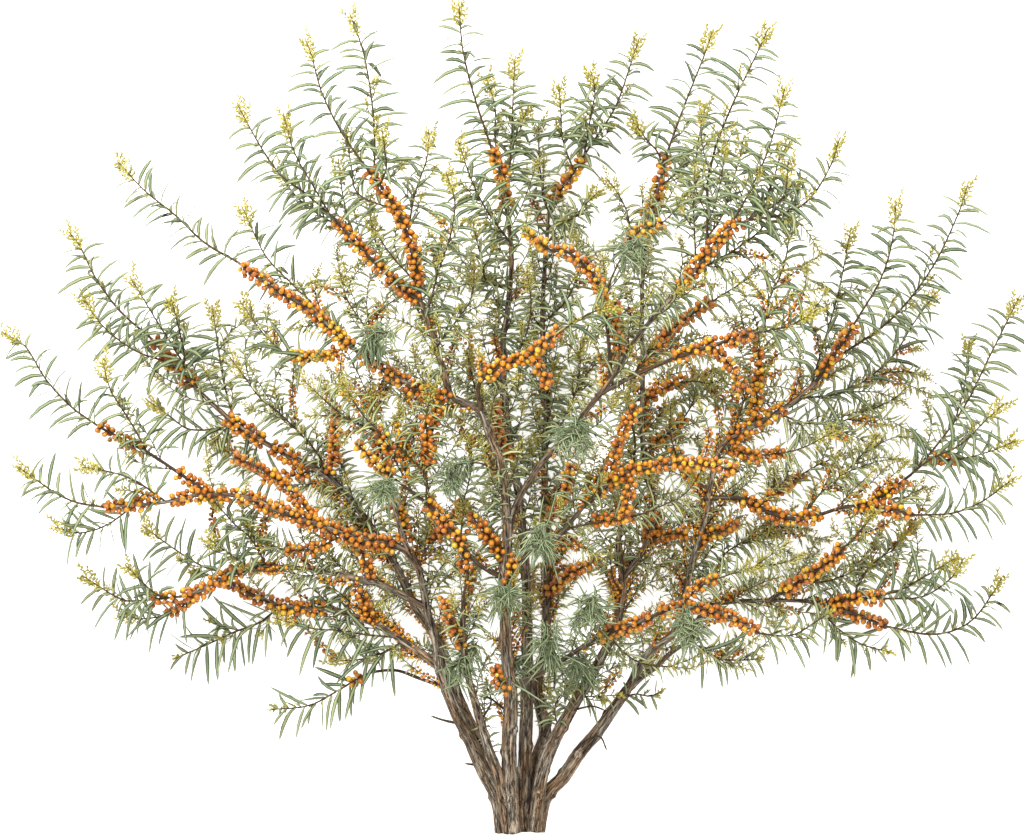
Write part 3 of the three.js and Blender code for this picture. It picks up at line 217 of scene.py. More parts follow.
THIN_SHOOTS = [
    ("L1tip", "L1", 1.5, 0.8, 40, [(-75, 64), (-78.5, 65), (-82, 65.5)]),
    ("L1c", "L1", 1.5, 0.8, 60, [(-31, 48), (-39, 50), (-45, 51), (-52, 51.5), (-61, 54)]),
    ("L2d", "L2", 1.3, 0.8, 150, [(-67, 67), (-73.5, 71), (-77.5, 74)]),
    ("L2e", "L2", 1.4, 0.8, 170, [(-63, 68), (-67, 74), (-71, 77.5), (-75, 82), (-78, 85)]),
    ("L5b", "L5", 1.5, 0.8, 12, [(-71, 104), (-76, 101.5), (-83, 101.5), (-88, 105), (-93, 108.5)]),
    ("L5e", "L5", 1.4, 0.8, 130, [(-83, 116), (-84, 121), (-86, 130), (-87, 134)]),
    ("L5f", "L5", 1.4, 0.8, 150, [(-48, 91), (-51, 96), (-59.5, 105), (-65, 109.5), (-69, 115), (-72, 119)]),
    ("L5h", "L5", 1.4, 0.8, 20, [(-50, 92), (-61, 89), (-65.5, 90), (-73.5, 96), (-77, 99)]),
    ("L6c", "L6", 1.5, 0.8, 130, [(-43.5, 122), (-47, 120), (-57, 120), (-61, 122.5), (-64.5, 126),
     (-69.5, 133)]),
    ("L9b", "L9", 1.4, 0.8, 300, [(-26.5, 137), (-32, 145), (-37.5, 153.5)]),
    ("L11", "L9", 1.4, 0.8, 390, [(-33, 163.5), (-33, 167), (-34, 175.5)]),
    ("N2", "S4", 1.5, 0.8, 230, [(-3, 136), (-8, 138.5), (-9, 142), (-10.5, 148.5), (-11.5, 153)]),
    ("C0c", "S4", 1.3, 0.8, 60, [(-2, 163), (-2, 171.5), (0.5, 177), (2, 181.5)]),
    ("UM2", "S5", 1.3, 0.8, 20, [(7, 156), (6, 160), (5, 171.5), (5, 178.5)]),
    ("N3", "S5", 1.4, 0.8, 150, [(8, 152), (13, 154), (16, 157), (20, 161)]),
    ("N4", "R2", 1.4, 0.8, 110, [(31, 146), (28, 152), (27, 156), (24.5, 161), (22, 164)]),
    ("C2tip", "C2", 1.5, 0.8, 330, [(8, 146), (5, 148), (1.5, 151)]),
    ("C2b", "C2", 1.5, 0.8, 250, [(21.5, 132), (23, 139), (26.5, 146), (30, 151), (35, 152.5), (40, 157),
     (43, 160)]),
    ("R3c", "R3", 1.4, 0.8, 230, [(48, 149), (50, 153.5), (52, 159), (55, 169), (56, 174)]),
    ("R3e", "R1", 1.4, 0.8, 300, [(57, 153.5), (62, 160), (65, 169), (67.5, 173)]),
    ("R3f", "R1", 1.3, 0.8, 360, [(57, 153.5), (65.5, 159), (67, 168)]),
    ("R4", "R1", 1.5, 0.8, 240, [(44, 142), (48.5, 143), (55, 147), (60, 151), (65, 157.5), (68, 162.5)]),
    ("R6", "R5", 1.8, 0.9, 170, [(28, 115), (31.5, 119.5), (38, 126), (44.5, 131), (50, 134.5), (57, 139),
     (60, 142.5)]),
    ("R2b", "R2", 1.4, 0.8, 90, [(36, 162), (40, 166), (44.5, 169.5), (47, 173), (50, 176)]),
    ("R2c", "R2", 1.4, 0.8, 80, [(36, 166), (35, 170.5), (32, 174), (28.5, 179)]),
    ("R10d", "R10", 1.5, 0.8, 60, [(43, 61), (48, 63.5), (50, 67.5), (52.5, 71), (58, 74), (63, 76.5)]),
    ("R12tip", "R12", 1.5, 0.8, 170, [(81, 71.5), (84.5, 75), (87, 78), (89, 81)]),
    ("R14b", "R14", 1.4, 0.8, 120, [(88, 59), (95, 61), (99, 63), (104, 66), (109, 69)]),
    ("R15", "R14", 1.5, 0.8, 100, [(84, 59), (85, 63), (88, 67), (92, 70.5), (99, 78)]),
    ("R7b", "R7", 1.6, 0.8, 260, [(11.5, 76), (18, 78), (29.5, 80), (37, 83), (41, 85), (44, 88.5),
     (46, 92.5)]),
    ("R9d", "R9", 1.4, 0.8, 200, [(98, 90), (103, 94), (109.5, 97), (113, 100), (117, 104), (121, 107.5)]),
    ("M3b", "M3", 1.7, 0.8, 290, [(-22, 82), (-23.5, 90), (-26, 93), (-30, 97), (-34, 100), (-44, 105),
     (-52, 112), (-54, 114)]),
    ("M3c", "M3", 1.4, 0.8, 300, [(-27, 86), (-34.5, 100), (-39, 105), (-44, 113)]),
    ("M3d", "M3", 1.4, 0.8, 270, [(-23, 83), (-23, 92), (-23, 99), (-23, 105), (-21.5, 112.5)]),
    ("S1in", "S1", 1.5, 0.8, 210, [(-25.5, 67), (-23.5, 71), (-20, 75), (-15, 81), (-12, 91), (-12, 99)]),
    ("S1tip", "S1", 2.2, 0.9, 175, [(-32, 85), (-33.5, 92), (-36, 101), (-37, 110)]),
    ("S2tip", "S2", 2, 0.9, 210, [(-14, 59), (-13, 66), (-14.5, 74), (-13.5, 83)]),
    ("S6tip", "S6", 2, 0.9, 150, [(28, 89), (29, 98), (27.5, 108), (28.5, 116)]),
    ("S7tuft", "S7", 1.4, 0.8, 60, [(25, 33), (29, 35), (33, 34.5), (36, 36)]),
    ("S4a", "S4", 1.4, 0.8, 190, [(-2, 98), (-7, 104), (-11, 112), (-13, 121)]),
    ("S4b", "S4", 1.4, 0.8, 175, [(-3.5, 116), (1, 123), (3, 132), (2, 141)]),
    ("S5a", "S5", 1.4, 0.8, 70, [(6.5, 98), (12, 105), (15, 115), (15.5, 124)]),
    ("S5b", "S5", 1.4, 0.8, 60, [(6, 128), (12, 134), (15, 142), (14, 151)]),
    ("R2d", "R2", 1.5, 0.8, 90, [(31, 108), (37, 112), (43, 113.5), (51, 112)]),
    ("R2e", "R2", 1.5, 0.8, 100, [(31, 122), (25, 128), (22, 136), (21, 145)]),
    ("R2f", "R2", 1.4, 0.8, 80, [(31, 96), (38, 101), (43, 107), (45, 115)]),
    ("R10e", "R10", 1.5, 0.8, 120, [(48, 86), (41, 92), (38, 100), (38, 108)]),
    ("R10f", "R10", 1.4, 0.8, 150, [(54, 99), (56, 108), (60, 117), (60, 126)]),
    ("R10g", "R10", 1.4, 0.8, 100, [(64, 105.5), (72, 103), (81, 103.5), (90, 108)]),
    ("R10h", "R10", 1.4, 0.8, 190, [(51, 97), (60, 95), (70, 96.5), (79, 101)]),
    ("R13b", "R13", 1.4, 0.8, 140, [(70, 79), (76, 86), (83, 92), (90, 100)]),
    ("R13c", "R13", 1.4, 0.8, 60, [(60, 82), (68, 88), (74, 92), (82, 95.5)]),
    ("R12b", "R12", 1.4, 0.8, 60, [(70, 63), (78, 63.5), (86, 66.5), (93, 68)]),
    ("Rlowb", "Rlow", 1.4, 0.8, 20, [(74, 58), (80, 51.5), (86, 47.5), (93, 45.5)]),
    ("Bb", "B", 1.4, 0.8, 230, [(40, 57), (45, 62), (52, 65), (60, 67.5)]),
    ("Bc", "B", 1.4, 0.8, 120, [(22, 50.3), (27, 45), (32, 42.5), (39, 42)]),
    ("L3d", "L3", 1.4, 0.8, 130, [(-44, 75), (-52, 71.5), (-60, 71.5), (-67, 74.5)]),
    ("L3e", "L3", 1.4, 0.8, 210, [(-88, 83.5), (-95, 88), (-101, 90.5), (-109, 92)]),
    ("L3f", "L3", 1.4, 0.8, 160, [(-96, 82.5), (-103, 77.5), (-110, 75.5), (-116, 77)]),
    ("L2f", "L2", 1.4, 0.8, 60, [(-80, 61), (-86, 56), (-93, 54), (-100, 54.5)]),
    ("L4b", "L4", 1.4, 0.8, 170, [(-93, 95.8), (-97, 103), (-102, 111), (-104, 118)]),
    ("L5i", "L5", 1.4, 0.8, 100, [(-87, 118), (-96, 121), (-104, 127), (-109, 134)]),
    ("L6d", "L6", 1.4, 0.8, 220, [(-35, 117), (-38, 126), (-43, 134), (-45, 142)]),
    ("L9c", "L9", 1.4, 0.8, 290, [(-37, 152), (-40, 160), (-42, 168), (-43, 176)]),
    ("C0e", "S4", 1.4, 0.8, 200, [(-3, 148), (-8, 156), (-12, 164), (-15, 173)]),
    ("L8e", "L8", 1.4, 0.8, 220, [(-44, 152), (-50, 155), (-56, 160), (-60, 166)]),
    ("L8c", "L8", 1.4, 0.8, 260, [(-38, 145.5), (-42, 152), (-44, 160), (-45, 168)]),
    ("L8d", "L8", 1.4, 0.8, 200, [(-31, 138.5), (-35, 146), (-37, 153), (-37, 160)]),
    ("C0d", "S4", 1.4, 0.8, 140, [(-5, 166), (-6, 174), (-6, 182), (-8, 189)]),
    ("R13d", "R13", 1.4, 0.8, 90, [(92, 81.5), (97, 84.5), (102, 87)]),
    ("L1d", "L1", 1.4, 0.8, 30, [(-29, 48.3), (-35, 45), (-41, 43.5), (-47, 43.5)]),
    ("F1a", "F1", 1.4, 0.8, 230, [(-21, 122), (-16, 128), (-12, 134), (-11, 142)]),
    ("S5t", "S5", 1, 0.7, 44, [(6.3, 45), (9.5, 42), (12.5, 38), (14, 34.5)]),
    ("S6t", "S6", 1.1, 0.7, 84, [(15, 34), (20.9, 34.6), (25.3, 34.8)]),
    ("S6u", "S6", 1, 0.7, 90, [(10, 26), (9, 32), (12, 37), (13.5, 40.5)]),
]

# ---------------------------------------------------------------- vectors
def unit(v):
    """Each vector at unit length."""
    return v / np.maximum(np.linalg.norm(v, axis=-1, keepdims=True), 1e-9)


def turned_off(v, axis):
    """The part of v that is square to axis, at unit length."""
    return unit(v - np.sum(v * axis, axis=-1, keepdims=True) * axis)


def distances(points):
    """Distance of each point from the first one, along the line through them."""
    return np.concatenate([[0], np.cumsum(np.linalg.norm(np.diff(points, axis=0), axis=1))])


# ---------------------------------------------------------------- branches
BRANCH_STEP = 4.0  # between the places at which a branch keeps its centre and its direction
CURVE_STEPS = 16  # between two points of a route


class Branch:
    """A smooth curve with a radius, and section axes that turn as little as they can."""

    def __init__(self, name, points, start_radius, end_radius, parent=None):
        self.name = name
        self.parent = parent
        fine = smooth_curve(points)
        reach = distances(fine)
        self.length = reach[-1]
        count = max(3, int(round(self.length / BRANCH_STEP)))
        self.s = np.linspace(0, self.length, count + 1)
        self.points = np.stack([np.interp(self.s, reach, fine[:, k]) for k in range(3)], axis=1)
        self.runs = unit(np.gradient(self.points, axis=0))
        self.radii = start_radius + (end_radius - start_radius) * self.s / self.length
        side = np.cross(self.runs[0], GROWN_DOWN if abs(self.runs[0][2]) > STEEP else UP)
        sides = []
        for run in self.runs:
            side = side - np.dot(side, run) * run
            side = side / np.linalg.norm(side)
            sides.append(side)
        self.sides = np.array(sides)

    def at(self, s):
        """Centres, directions, section axes and radii at these distances, past its ends too."""
        s = np.atleast_1d(np.asarray(s, dtype=float))
        held = np.clip(s, 0, self.length)
        pick = lambda table: np.stack([np.interp(held, self.s, table[:, k]) for k in range(3)], axis=1)
        run = unit(pick(self.runs))
        centre = pick(self.points) + run * (s - held)[:, None]
        side = turned_off(pick(self.sides), run)
        return centre, run, side, np.cross(run, side), np.interp(held, self.s, self.radii)

    def nearest(self, x, y):
        """Distance along it of its nearest place to a point of the drawing."""
        return self.s[np.argmin(np.hypot(self.points[:, 0] - x, self.points[:, 1] - y))]

    def stretch(self, start, end):
        """Distances along it of its nearest places to two points on the grid."""
        return (self.nearest(start[0] * GRID, start[1] * GRID),
                self.nearest(end[0] * GRID, end[1] * GRID))


def smooth_curve(points):
    """A Catmull-Rom curve through the points."""
    p = np.asarray(points, dtype=float)
    p = np.vstack([2 * p[0] - p[1], p, 2 * p[-1] - p[-2]])
    t = np.linspace(0, 1, CURVE_STEPS, endpoint=False)[:, None]
    parts = []
    for k in range(1, len(p) - 2):
        leave = (p[k + 1] - p[k - 1]) / 2
        arrive = (p[k + 2] - p[k]) / 2
        gap = p[k + 1] - p[k]
        square = 3 * gap - 2 * leave - arrive
        cube = leave + arrive - 2 * gap
        parts.append(p[k] + leave * t + square * t**2 + cube * t**3)
    return np.vstack(parts + [p[-2:-1]])


def drawn(name, parent, radii, end_height, route, start_height=None):
    """A branch from its row. It starts on its parent's centreline and never sinks below the floor."""
    flat = np.array(route, dtype=float) * GRID
    low = start_height
    if parent is not None:
        start = parent.at(parent.nearest(*flat[0]))[0][0]
        flat[0] = start[:2]
        low = start[2]
    reach = distances(flat)
    u = reach / reach[-1]
    height = low + (end_height - low) * u * (EARLY_RISE - (EARLY_RISE - 1) * u)
    height = np.maximum(height, FLOOR + radii[0] + (radii[1] - radii[0]) * u)
    return Branch(name, np.column_stack([flat, height]), radii[0], radii[1], parent)


# ---------------------------------------------------------------- collecting meshes
MARKINGS = ("tint", "youth", "across", "along")


class Pile:
    """Points, faces and their markings, gathered for one mesh."""

    def __init__(self):
        self.parts = []

    def add(self, points, quads, tris, slot, tint=0.5, youth=0.0, across=0.5, along=0.5, grain=None):
        """A slot is one number, or a pair of arrays, for the quads and for the triangles."""
        full = lambda v: np.broadcast_to(np.asarray(v, dtype=np.float32), (len(points),)).copy()
        markings = [full(v) for v in (tint, youth, across, along)]
        slots = slot if isinstance(slot, tuple) else (slot, slot)
        self.parts.append((points, quads, tris, slots, markings, points if grain is None else grain))

    def build(self, name, materials):
        """The mesh of all that was gathered, as an object in the scene."""
        offset = 0
        quads, tris, quad_slots, tri_slots = [], [], [], []
        for points, part_quads, part_tris, slots, _, _ in self.parts:
            quads.append(part_quads + offset)
            tris.append(part_tris + offset)
            quad_slots.append(np.broadcast_to(slots[0], len(part_quads)))
            tri_slots.append(np.broadcast_to(slots[1], len(part_tris)))
            offset += len(points)
        points = (np.concatenate([part[0] for part in self.parts]) - CUT_TO_CENTRE) * MM
        quads = np.concatenate(quads).astype(np.int32)
        tris = np.concatenate(tris).astype(np.int32)
        mesh = bpy.data.meshes.new(name)
        mesh.vertices.add(len(points))
        mesh.vertices.foreach_set("co", points.astype(np.float32).ravel())
        mesh.loops.add(4 * len(quads) + 3 * len(tris))
        mesh.loops.foreach_set("vertex_index", np.concatenate([quads.ravel(), tris.ravel()]))
        mesh.polygons.add(len(quads) + len(tris))
        starts = np.concatenate([np.arange(len(quads)) * 4, 4 * len(quads) + np.arange(len(tris)) * 3])
        mesh.polygons.foreach_set("loop_start", starts.astype(np.int32))
        slots = np.concatenate(quad_slots + tri_slots).astype(np.int32)
        mesh.polygons.foreach_set("material_index", slots)
        for k, key in enumerate(MARKINGS):
            values = np.concatenate([part[4][k] for part in self.parts])
            mesh.attributes.new(key, "FLOAT", "POINT").data.foreach_set("value", values)
        grain = np.concatenate([part[5] for part in self.parts]).astype(np.float32)
        mesh.attributes.new("grain", "FLOAT_VECTOR", "POINT").data.foreach_set("vector", grain.ravel())
        for material in materials:
            mesh.materials.append(material)
        mesh.update(calc_edges=True)
        mesh.validate()
        mesh.shade_smooth()
        piece = bpy.data.objects.new(name, mesh)
        bpy.context.scene.collection.objects.link(piece)
        return piece


def tube_faces(rings, sides):
    """Quads of a tube of rings, and the fan that closes its start; the end closes on one point."""
    ring, k = np.meshgrid(np.arange(rings - 1), np.arange(sides), indexing="ij")
    low = ring * sides + k
    low_next = ring * sides + (k + 1) % sides
    quads = np.stack([low, low_next, low_next + sides, low + sides], axis=-1).reshape(-1, 4)
    k = np.arange(sides)
    last = (rings - 1) * sides
    tip = rings * sides
    end = np.stack([last + k, last + (k + 1) % sides, np.full(sides, tip)], axis=1)
    start = np.stack([np.full(sides - 2, 0), k[2:], k[1:-1]], axis=1)
    return quads, np.concatenate([end, start])


def add_copies(pile, points, rings, sides, slot, along, tint, youth=0.0, across=None):
    """Many small closed tubes at once. Along and across hold for the points of every copy, tint and youth
    for each copy."""
    n, per = points.shape[:2]
    quads, tris = tube_faces(rings, sides)
    shift = (np.arange(n) * per)[:, None, None]
    spread = lambda v: np.repeat(np.broadcast_to(v, (n,)), per)
    across = 0.5 if across is None else np.tile(across, n)
    pile.add(points.reshape(-1, 3), (quads[None] + shift).reshape(-1, 4), (tris[None] + shift).reshape(-1, 3),
             slot, spread(tint), spread(youth), across, np.tile(along, n))


CAP_SHARES = np.array([0.25, 0.6, 0.96])  # radii of the rings of a cut end, as shares of its rim
CUT_BEVEL = 0.7  # how far the bark starts behind the rim of a cut end
CUT_SLOT = 1
RING_UNIT = 10.0  # millimetres from the pith for each unit of the marking
THICK_WOOD = 9.0  # the radius at which the marking for thick wood reaches 1
THIN_MARK = 0.2  # the same marking at the last point of every tube
GRAIN_SHIFT = 3.1  # places in the noise for each millimetre between branches


def add_tube(pile, branch, s, radii, sides, slot, relief, tint=0.5, cut=None):
    """A closed tube along a branch, with a relief of its radius. A cut is the place of a flat end at its
    start, along the bush."""
    centre, run, side, rise, _ = branch.at(s)
    turn = np.arange(sides) * 2 * np.pi / sides
    reach = np.repeat(radii[:, None], sides, axis=1)
    reach = reach * (1 + relief(s[:, None], turn[None, :]))
    points = centre[:, None] + reach[..., None] * (
        np.cos(turn)[None, :, None] * side[:, None] + np.sin(turn)[None, :, None] * rise[:, None]
    )
    lengthwise = np.repeat(s[:, None], sides, axis=1)
    grain = np.stack([np.cos(turn)[None] * reach, np.sin(turn)[None] * reach, lengthwise], axis=-1)
    rings = len(s)
    pith = np.ones(rings)
    if cut is not None:
        rim = points[0] - run[0] * ((points[0][:, 1] - cut) / run[0][1])[:, None]
        middle = rim.mean(axis=0)
        cap = middle + (rim - middle) * CAP_SHARES[:, None, None]
        points[0] = rim + run[0] * CUT_BEVEL
        points = np.concatenate([cap, points])
        grain = np.concatenate([np.repeat(grain[:1], len(cap), axis=0), grain])
        pith = np.concatenate([CAP_SHARES, pith])
        rings += len(cap)
    quads, tris = tube_faces(rings, sides)
    if cut is not None:
        quad_slots = np.where(np.arange(len(quads)) < len(CAP_SHARES) * sides, CUT_SLOT, slot)
        tri_slots = np.where(np.arange(len(tris)) < sides, slot, CUT_SLOT)
        slot = (quad_slots, tri_slots)
    end = centre[-1] + run[-1] * radii[-1]
    grain_end = np.array([[0, 0, s[-1] + radii[-1]]])
    # each branch has its grain at a place of its own in the noise
    own_place = np.array([branch.points[0][0], branch.points[0][1], branch.points[-1][2]]) * GRAIN_SHIFT
    across = np.append(np.repeat(pith * radii[0] / RING_UNIT, sides), 0.0)
    along = np.append(np.full(rings * sides, np.clip(branch.radii[0] / THICK_WOOD, 0, 1)), THIN_MARK)
    pile.add(np.vstack([points.reshape(-1, 3), end[None]]), quads, tris, slot, tint, 0.0, across, along,
             np.vstack([grain.reshape(-1, 3), grain_end]) + own_place)


class Cover:
    """How much leaf lies over each small square of the floor, to see where the crown is still thin."""

    CELL = 16.0
    REACH = 900.0  # to each side of the cut
    BELOW = 60.0  # how far it starts below the cut

    def __init__(self):
        count = int(2 * self.REACH / self.CELL)
        self.area = np.zeros((count, count))

    def cells(self, points):
        held = np.clip((points[:, :2] + (self.REACH, self.BELOW)) / self.CELL, 0, len(self.area) - 1)
        return tuple(held.astype(int).T)

    def add(self, points, area):
        np.add.at(self.area, self.cells(points), area / self.CELL**2)

    def mean(self, points):
        return self.area[self.cells(points)].mean()


cover = Cover()


# ---------------------------------------------------------------- leaves and buds
SLOT_LEAF, SLOT_TWIG, SLOT_BUD = 0, 1, 2
# Places along a blade as shares of its length, and its width there as a share of the most.
FULL_LEAF = (np.array([0.0, 0.12, 0.36, 0.66, 0.9]), np.array([0.3, 0.74, 1.0, 0.98, 0.6]))
SIDE_LEAF = (np.array([0.0, 0.2, 0.5, 0.84]), np.array([0.3, 0.88, 1.0, 0.7]))
SMALL_LEAF = (np.array([0.0, 0.32, 0.72]), np.array([0.35, 1.0, 0.75]))
FAR_LEAF = (np.array([0.0, 0.55]), np.array([0.5, 1.0]))
LEAFLET = (np.array([0.0, 0.45]), np.array([0.35, 1.0]))
BUD = (np.array([0.0, 0.55]), np.array([0.55, 1.0]))
SMALL_BUD = (np.array([0.1]), np.array([1.0]))
STALK = (np.array([0.0]), np.array([1.0]))
GROUND_GAP = 0.3  # the least room between a blade and the floor
EASE = 0.25  # how much a blade slows down along its first direction as it bends away from it

# How leaves sit on a shoot: size of the smallest, angle to the twig and its spread, how much less those on
# the upper side droop, how far they arch outwards and the spread of that, spread of the way they face, width
# and bend as shares of the usual, and how young they get towards the tip.
Habit = namedtuple("Habit", "smallest angle angle_spread lift outwards arch_spread face_spread width bend "
                            "young_tip")
SPRAY = Habit(0.8, LEAF_ANGLE, 0.13, 0.5, 0.7, 0.15, 0.35, 1.0, 1.0, 0.5)
MOP = Habit(0.45, LEAF_ANGLE + 0.25, 0.38, 0.0, 0.5, 0.55, 0.75, 0.7, 1.9, 0.0)

# Kinds of shoots: shape and pitch of the leaves, their habit and how much they hang, share of them with
# leaflets, how young and how pale they are, sides of the twig, and the forks, bud size and reach of the
# plume. The paleness is partly the leaves' own colour and partly painted light: leaves of inner and filling
# shoots, which sit in shade inside the crown, are painted paler, and those of outer shoots a little darker.
Kind = namedtuple("Kind", "shape pitch habit hang tufts youth pale sides forks bud plume")
OUTER = Kind(FULL_LEAF, LEAF_PITCH, SPRAY, 1.0, 0.45, 0.1, -0.06, 5, 6, 7.2, 32.0)
INNER = OUTER._replace(shape=SIDE_LEAF, pitch=LEAF_PITCH * 0.8, youth=0.25, pale=0.2)
SIDE = Kind(SIDE_LEAF, 4.6, SPRAY, 1.0, 0.3, 0.22, 0.1, 3, 3, 6.2, 20.0)
SMALL_SIDE = SIDE._replace(shape=SMALL_LEAF, pale=0.0)
FILLING = SIDE._replace(shape=FAR_LEAF, pitch=2.7, youth=0.62, pale=0.36)
FRONT = OUTER._replace(shape=SIDE_LEAF, pitch=1.1, habit=MOP, hang=1.3, tufts=0.03, youth=0.05, pale=0.18)
FRONT_FORK = FRONT._replace(pitch=1.5)


def add_blades(pile, root, young, arch, face, length, width, thick, shape, slot, tint, youth, bend):
    """Many closed blades at once: a midline that bends from young towards arch, and three-sided
    sections with the midrib raised on the side of face."""
    n = len(root)
    if n == 0:
        return
    shares, profile = shape
    t = np.append(shares, 1.0)
    length = np.broadcast_to(length, (n,))
    width = np.broadcast_to(width, (n,))
    bend = np.broadcast_to(bend, (n,))
    mid = root[:, None] + length[:, None, None] * (
        young[:, None] * (t - EASE * t * t)[None, :, None]
        + arch[:, None] * bend[:, None, None] * (t * t)[None, :, None]
    )
    lowest = FLOOR + GROUND_GAP + width[:, None] * 0.5
    mid[..., 2] = np.maximum(mid[..., 2], lowest * np.minimum(1, t * 4)[None])
    run = unit(np.gradient(mid, axis=1))
    wide = unit(np.cross(face[:, None], run))[:, :-1]
    normal = np.cross(run[:, :-1], wide)
    half = ((width[:, None] / 2) * profile[None])[..., None]
    rib = normal * np.broadcast_to(thick, (n,))[:, None, None] * profile[None, :, None]
    line = mid[:, :-1]
    ring = np.stack([line + wide * half, line + rib, line - wide * half], axis=2)
    points = np.concatenate([ring.reshape(n, -1, 3), mid[:, -1:]], axis=1)
    rings = len(shares)
    across = np.append(np.tile([0.0, 0.5, 1.0], rings), 0.5)
    add_copies(pile, points, rings, 3, slot, np.append(np.repeat(shares, 3), 1.0), tint, youth, across)


def leaf_directions(run, turn, angle, flatten=1.0):
    """Outward and young directions of leaves that leave a twig at these turns."""
    across = unit(np.where(np.abs(run[:, 2:3]) > STEEP, np.cross(run, GROWN_DOWN), np.cross(run, UP)))
    over = np.cross(across, run)
    outward = unit(across * np.cos(turn)[:, None] + over * np.sin(turn)[:, None] * flatten)
    young = run * np.cos(angle)[:, None] + outward * np.sin(angle)[:, None]
    return outward, young


TIP_STRETCH = 55.0  # over this last stretch of a shoot, its leaves get shorter and younger
FACES_VIEWER = 0.5  # rise of a shoot above which its leaves keep all of their spiral in depth
LEAF_THICK = 0.7
COVER_SHARE = 0.7  # of a leaf's length times its width, for the area that it covers


def add_leaves(pile, shoot, rng, kind, first, last, length):
    """Leaves in a spiral. Those on the upper side rise, and those on the lower side hang. In a mop, seen
    from its tip, those of all sides arch over and hang."""
    s = np.arange(first, last, kind.pitch)
    n = len(s)
    if n == 0:
        return
    habit = kind.habit
    s = s + rng.uniform(-0.3, 0.3, n) * kind.pitch
    centre, run, _, _, radius = shoot.at(s)
    turn = np.arange(n) * GOLDEN_ANGLE + rng.uniform(0, 2 * np.pi) + rng.normal(0, 0.2, n)
    to_tip = np.clip((shoot.length - s) / TIP_STRETCH, 0, 1)
    size = (0.5 + 0.5 * to_tip) * rng.uniform(habit.smallest, 1.12, n)
    flatten = np.where(np.abs(run[:, 2:3]) > FACES_VIEWER, 1.0, LEAF_FLATTEN)
    angle = habit.angle + rng.normal(0, habit.angle_spread, n)
    outward, young = leaf_directions(run, turn, angle, flatten)
    droop = kind.hang * (0.62 - habit.lift * outward[:, 1:2])
    arch = unit(outward * habit.outwards + GROWN_DOWN * droop + rng.normal(0, habit.arch_spread, (n, 3)))
    face = UP * rng.uniform(0.5, 1.2, n)[:, None] + run * 0.6 + rng.normal(0, habit.face_spread, (n, 3))
    root = centre + outward * radius[:, None] * 0.6
    youth = rng.normal(kind.youth, 0.08 + 0.5 * kind.youth, n) + habit.young_tip * (1 - to_tip) ** 2
    width = LEAF_WIDTH * (0.35 + 0.65 * size * length / LEAF_LENGTH) * habit.width
    bend = LEAF_ARCH * habit.bend * rng.uniform(0.5, 1.4, n)
    # partly painted light: the paleness of the kind lifts the leaves that sit in shade inside the crown and
    # darkens the outer ones
    tint = kind.pale + rng.uniform(0, 0.68, n)
    add_blades(pile, root, young, arch, face, length * size, width, LEAF_THICK, kind.shape, SLOT_LEAF,
               tint, np.clip(youth, 0, 1), bend)
    cover.add(root + young * (length * 0.45), length * size * LEAF_WIDTH * COVER_SHARE)
    add_leaflets(pile, root, run, outward, rng, kind)


def add_leaflets(pile, root, run, outward, rng, kind):
    """Small yellow-green leaflets, three in the joint of each leaf that has any."""
    chosen = np.repeat(np.nonzero(rng.uniform(0, 1, len(root)) < kind.tufts)[0], 3)
    n = len(chosen)
    spread = rng.normal(0, 0.45, (n, 3))
    young = unit(run[chosen] + outward[chosen] * 0.7 + spread)
    arch = unit(outward[chosen] + spread)
    face = UP + rng.normal(0, 0.6, (n, 3))
    length, width = rng.uniform(6, 15, n), rng.uniform(1.8, 2.8, n)
    tint, youth = rng.uniform(0, 1, n), rng.uniform(0.45, 1.0, n)
    shape = LEAFLET if kind.shape is FULL_LEAF else SMALL_BUD
    add_blades(pile, root[chosen], young, arch, face, length, width, 0.5, shape, SLOT_LEAF, tint, youth, 0.35)


def add_buds(pile, shoot, rng, first, pitch, size, shape):
    """A spike of small pale buds on the last stretch of a shoot, on its two sides by turns."""
    s = np.arange(first, shoot.length + 1, pitch)
    n = len(s)
    if n == 0:
        return
    centre, run, _, _, _ = shoot.at(s)
    turn = np.arange(n) * math.pi + rng.normal(0, 0.6, n)
    outward, young = leaf_directions(run, turn, rng.uniform(0.45, 0.85, n))
    young[-1] = run[-1]
    face = UP + rng.normal(0, 0.5, (n, 3))
    width = size * rng.uniform(0.36, 0.55, n)
    length = size * rng.uniform(0.75, 1.3, n)
    tint, youth = rng.uniform(0, 1, n), rng.uniform(0, 1, n)
    add_blades(pile, centre, young, outward, face, length, width, width * 0.55, shape, SLOT_BUD,
               tint, youth, 0.1)


TWIG_STEP = 6.0
TWIG_SUNK = 1.5  # how far a twig starts inside the wood that carries it
FORK_SIDES, FORK_STEP = 3, 9.0  # of the twigs of forks
TWIG_TINT = 0.35


def add_twig(pile, shoot, sides=5, step=TWIG_STEP, slot=SLOT_TWIG):
    """The slim stem of a shoot, a little thicker at each leaf."""
    s = np.linspace(-TWIG_SUNK, shoot.length, max(2, int(shoot.length / step)))
    radii = np.interp(s, shoot.s, shoot.radii)
    swell = lambda d, turn: 0.12 * np.sin(d * np.pi / LEAF_PITCH + turn) + 0.05 * np.sin(d / 2.7)
    add_tube(pile, shoot, s, radii, sides, slot, swell, TWIG_TINT)


SPIKE_SHARE = 0.8  # of a plume's reach, for the spike of buds on the shoot itself
BUD_PITCH, FORK_BUD_PITCH = 2.6, 2.8
FORK_BUD = 0.95  # size of a bud on a fork, as a share of one on the shoot
PLUME_ANGLE, PLUME_RADIUS = 0.75, 0.6  # of its forks


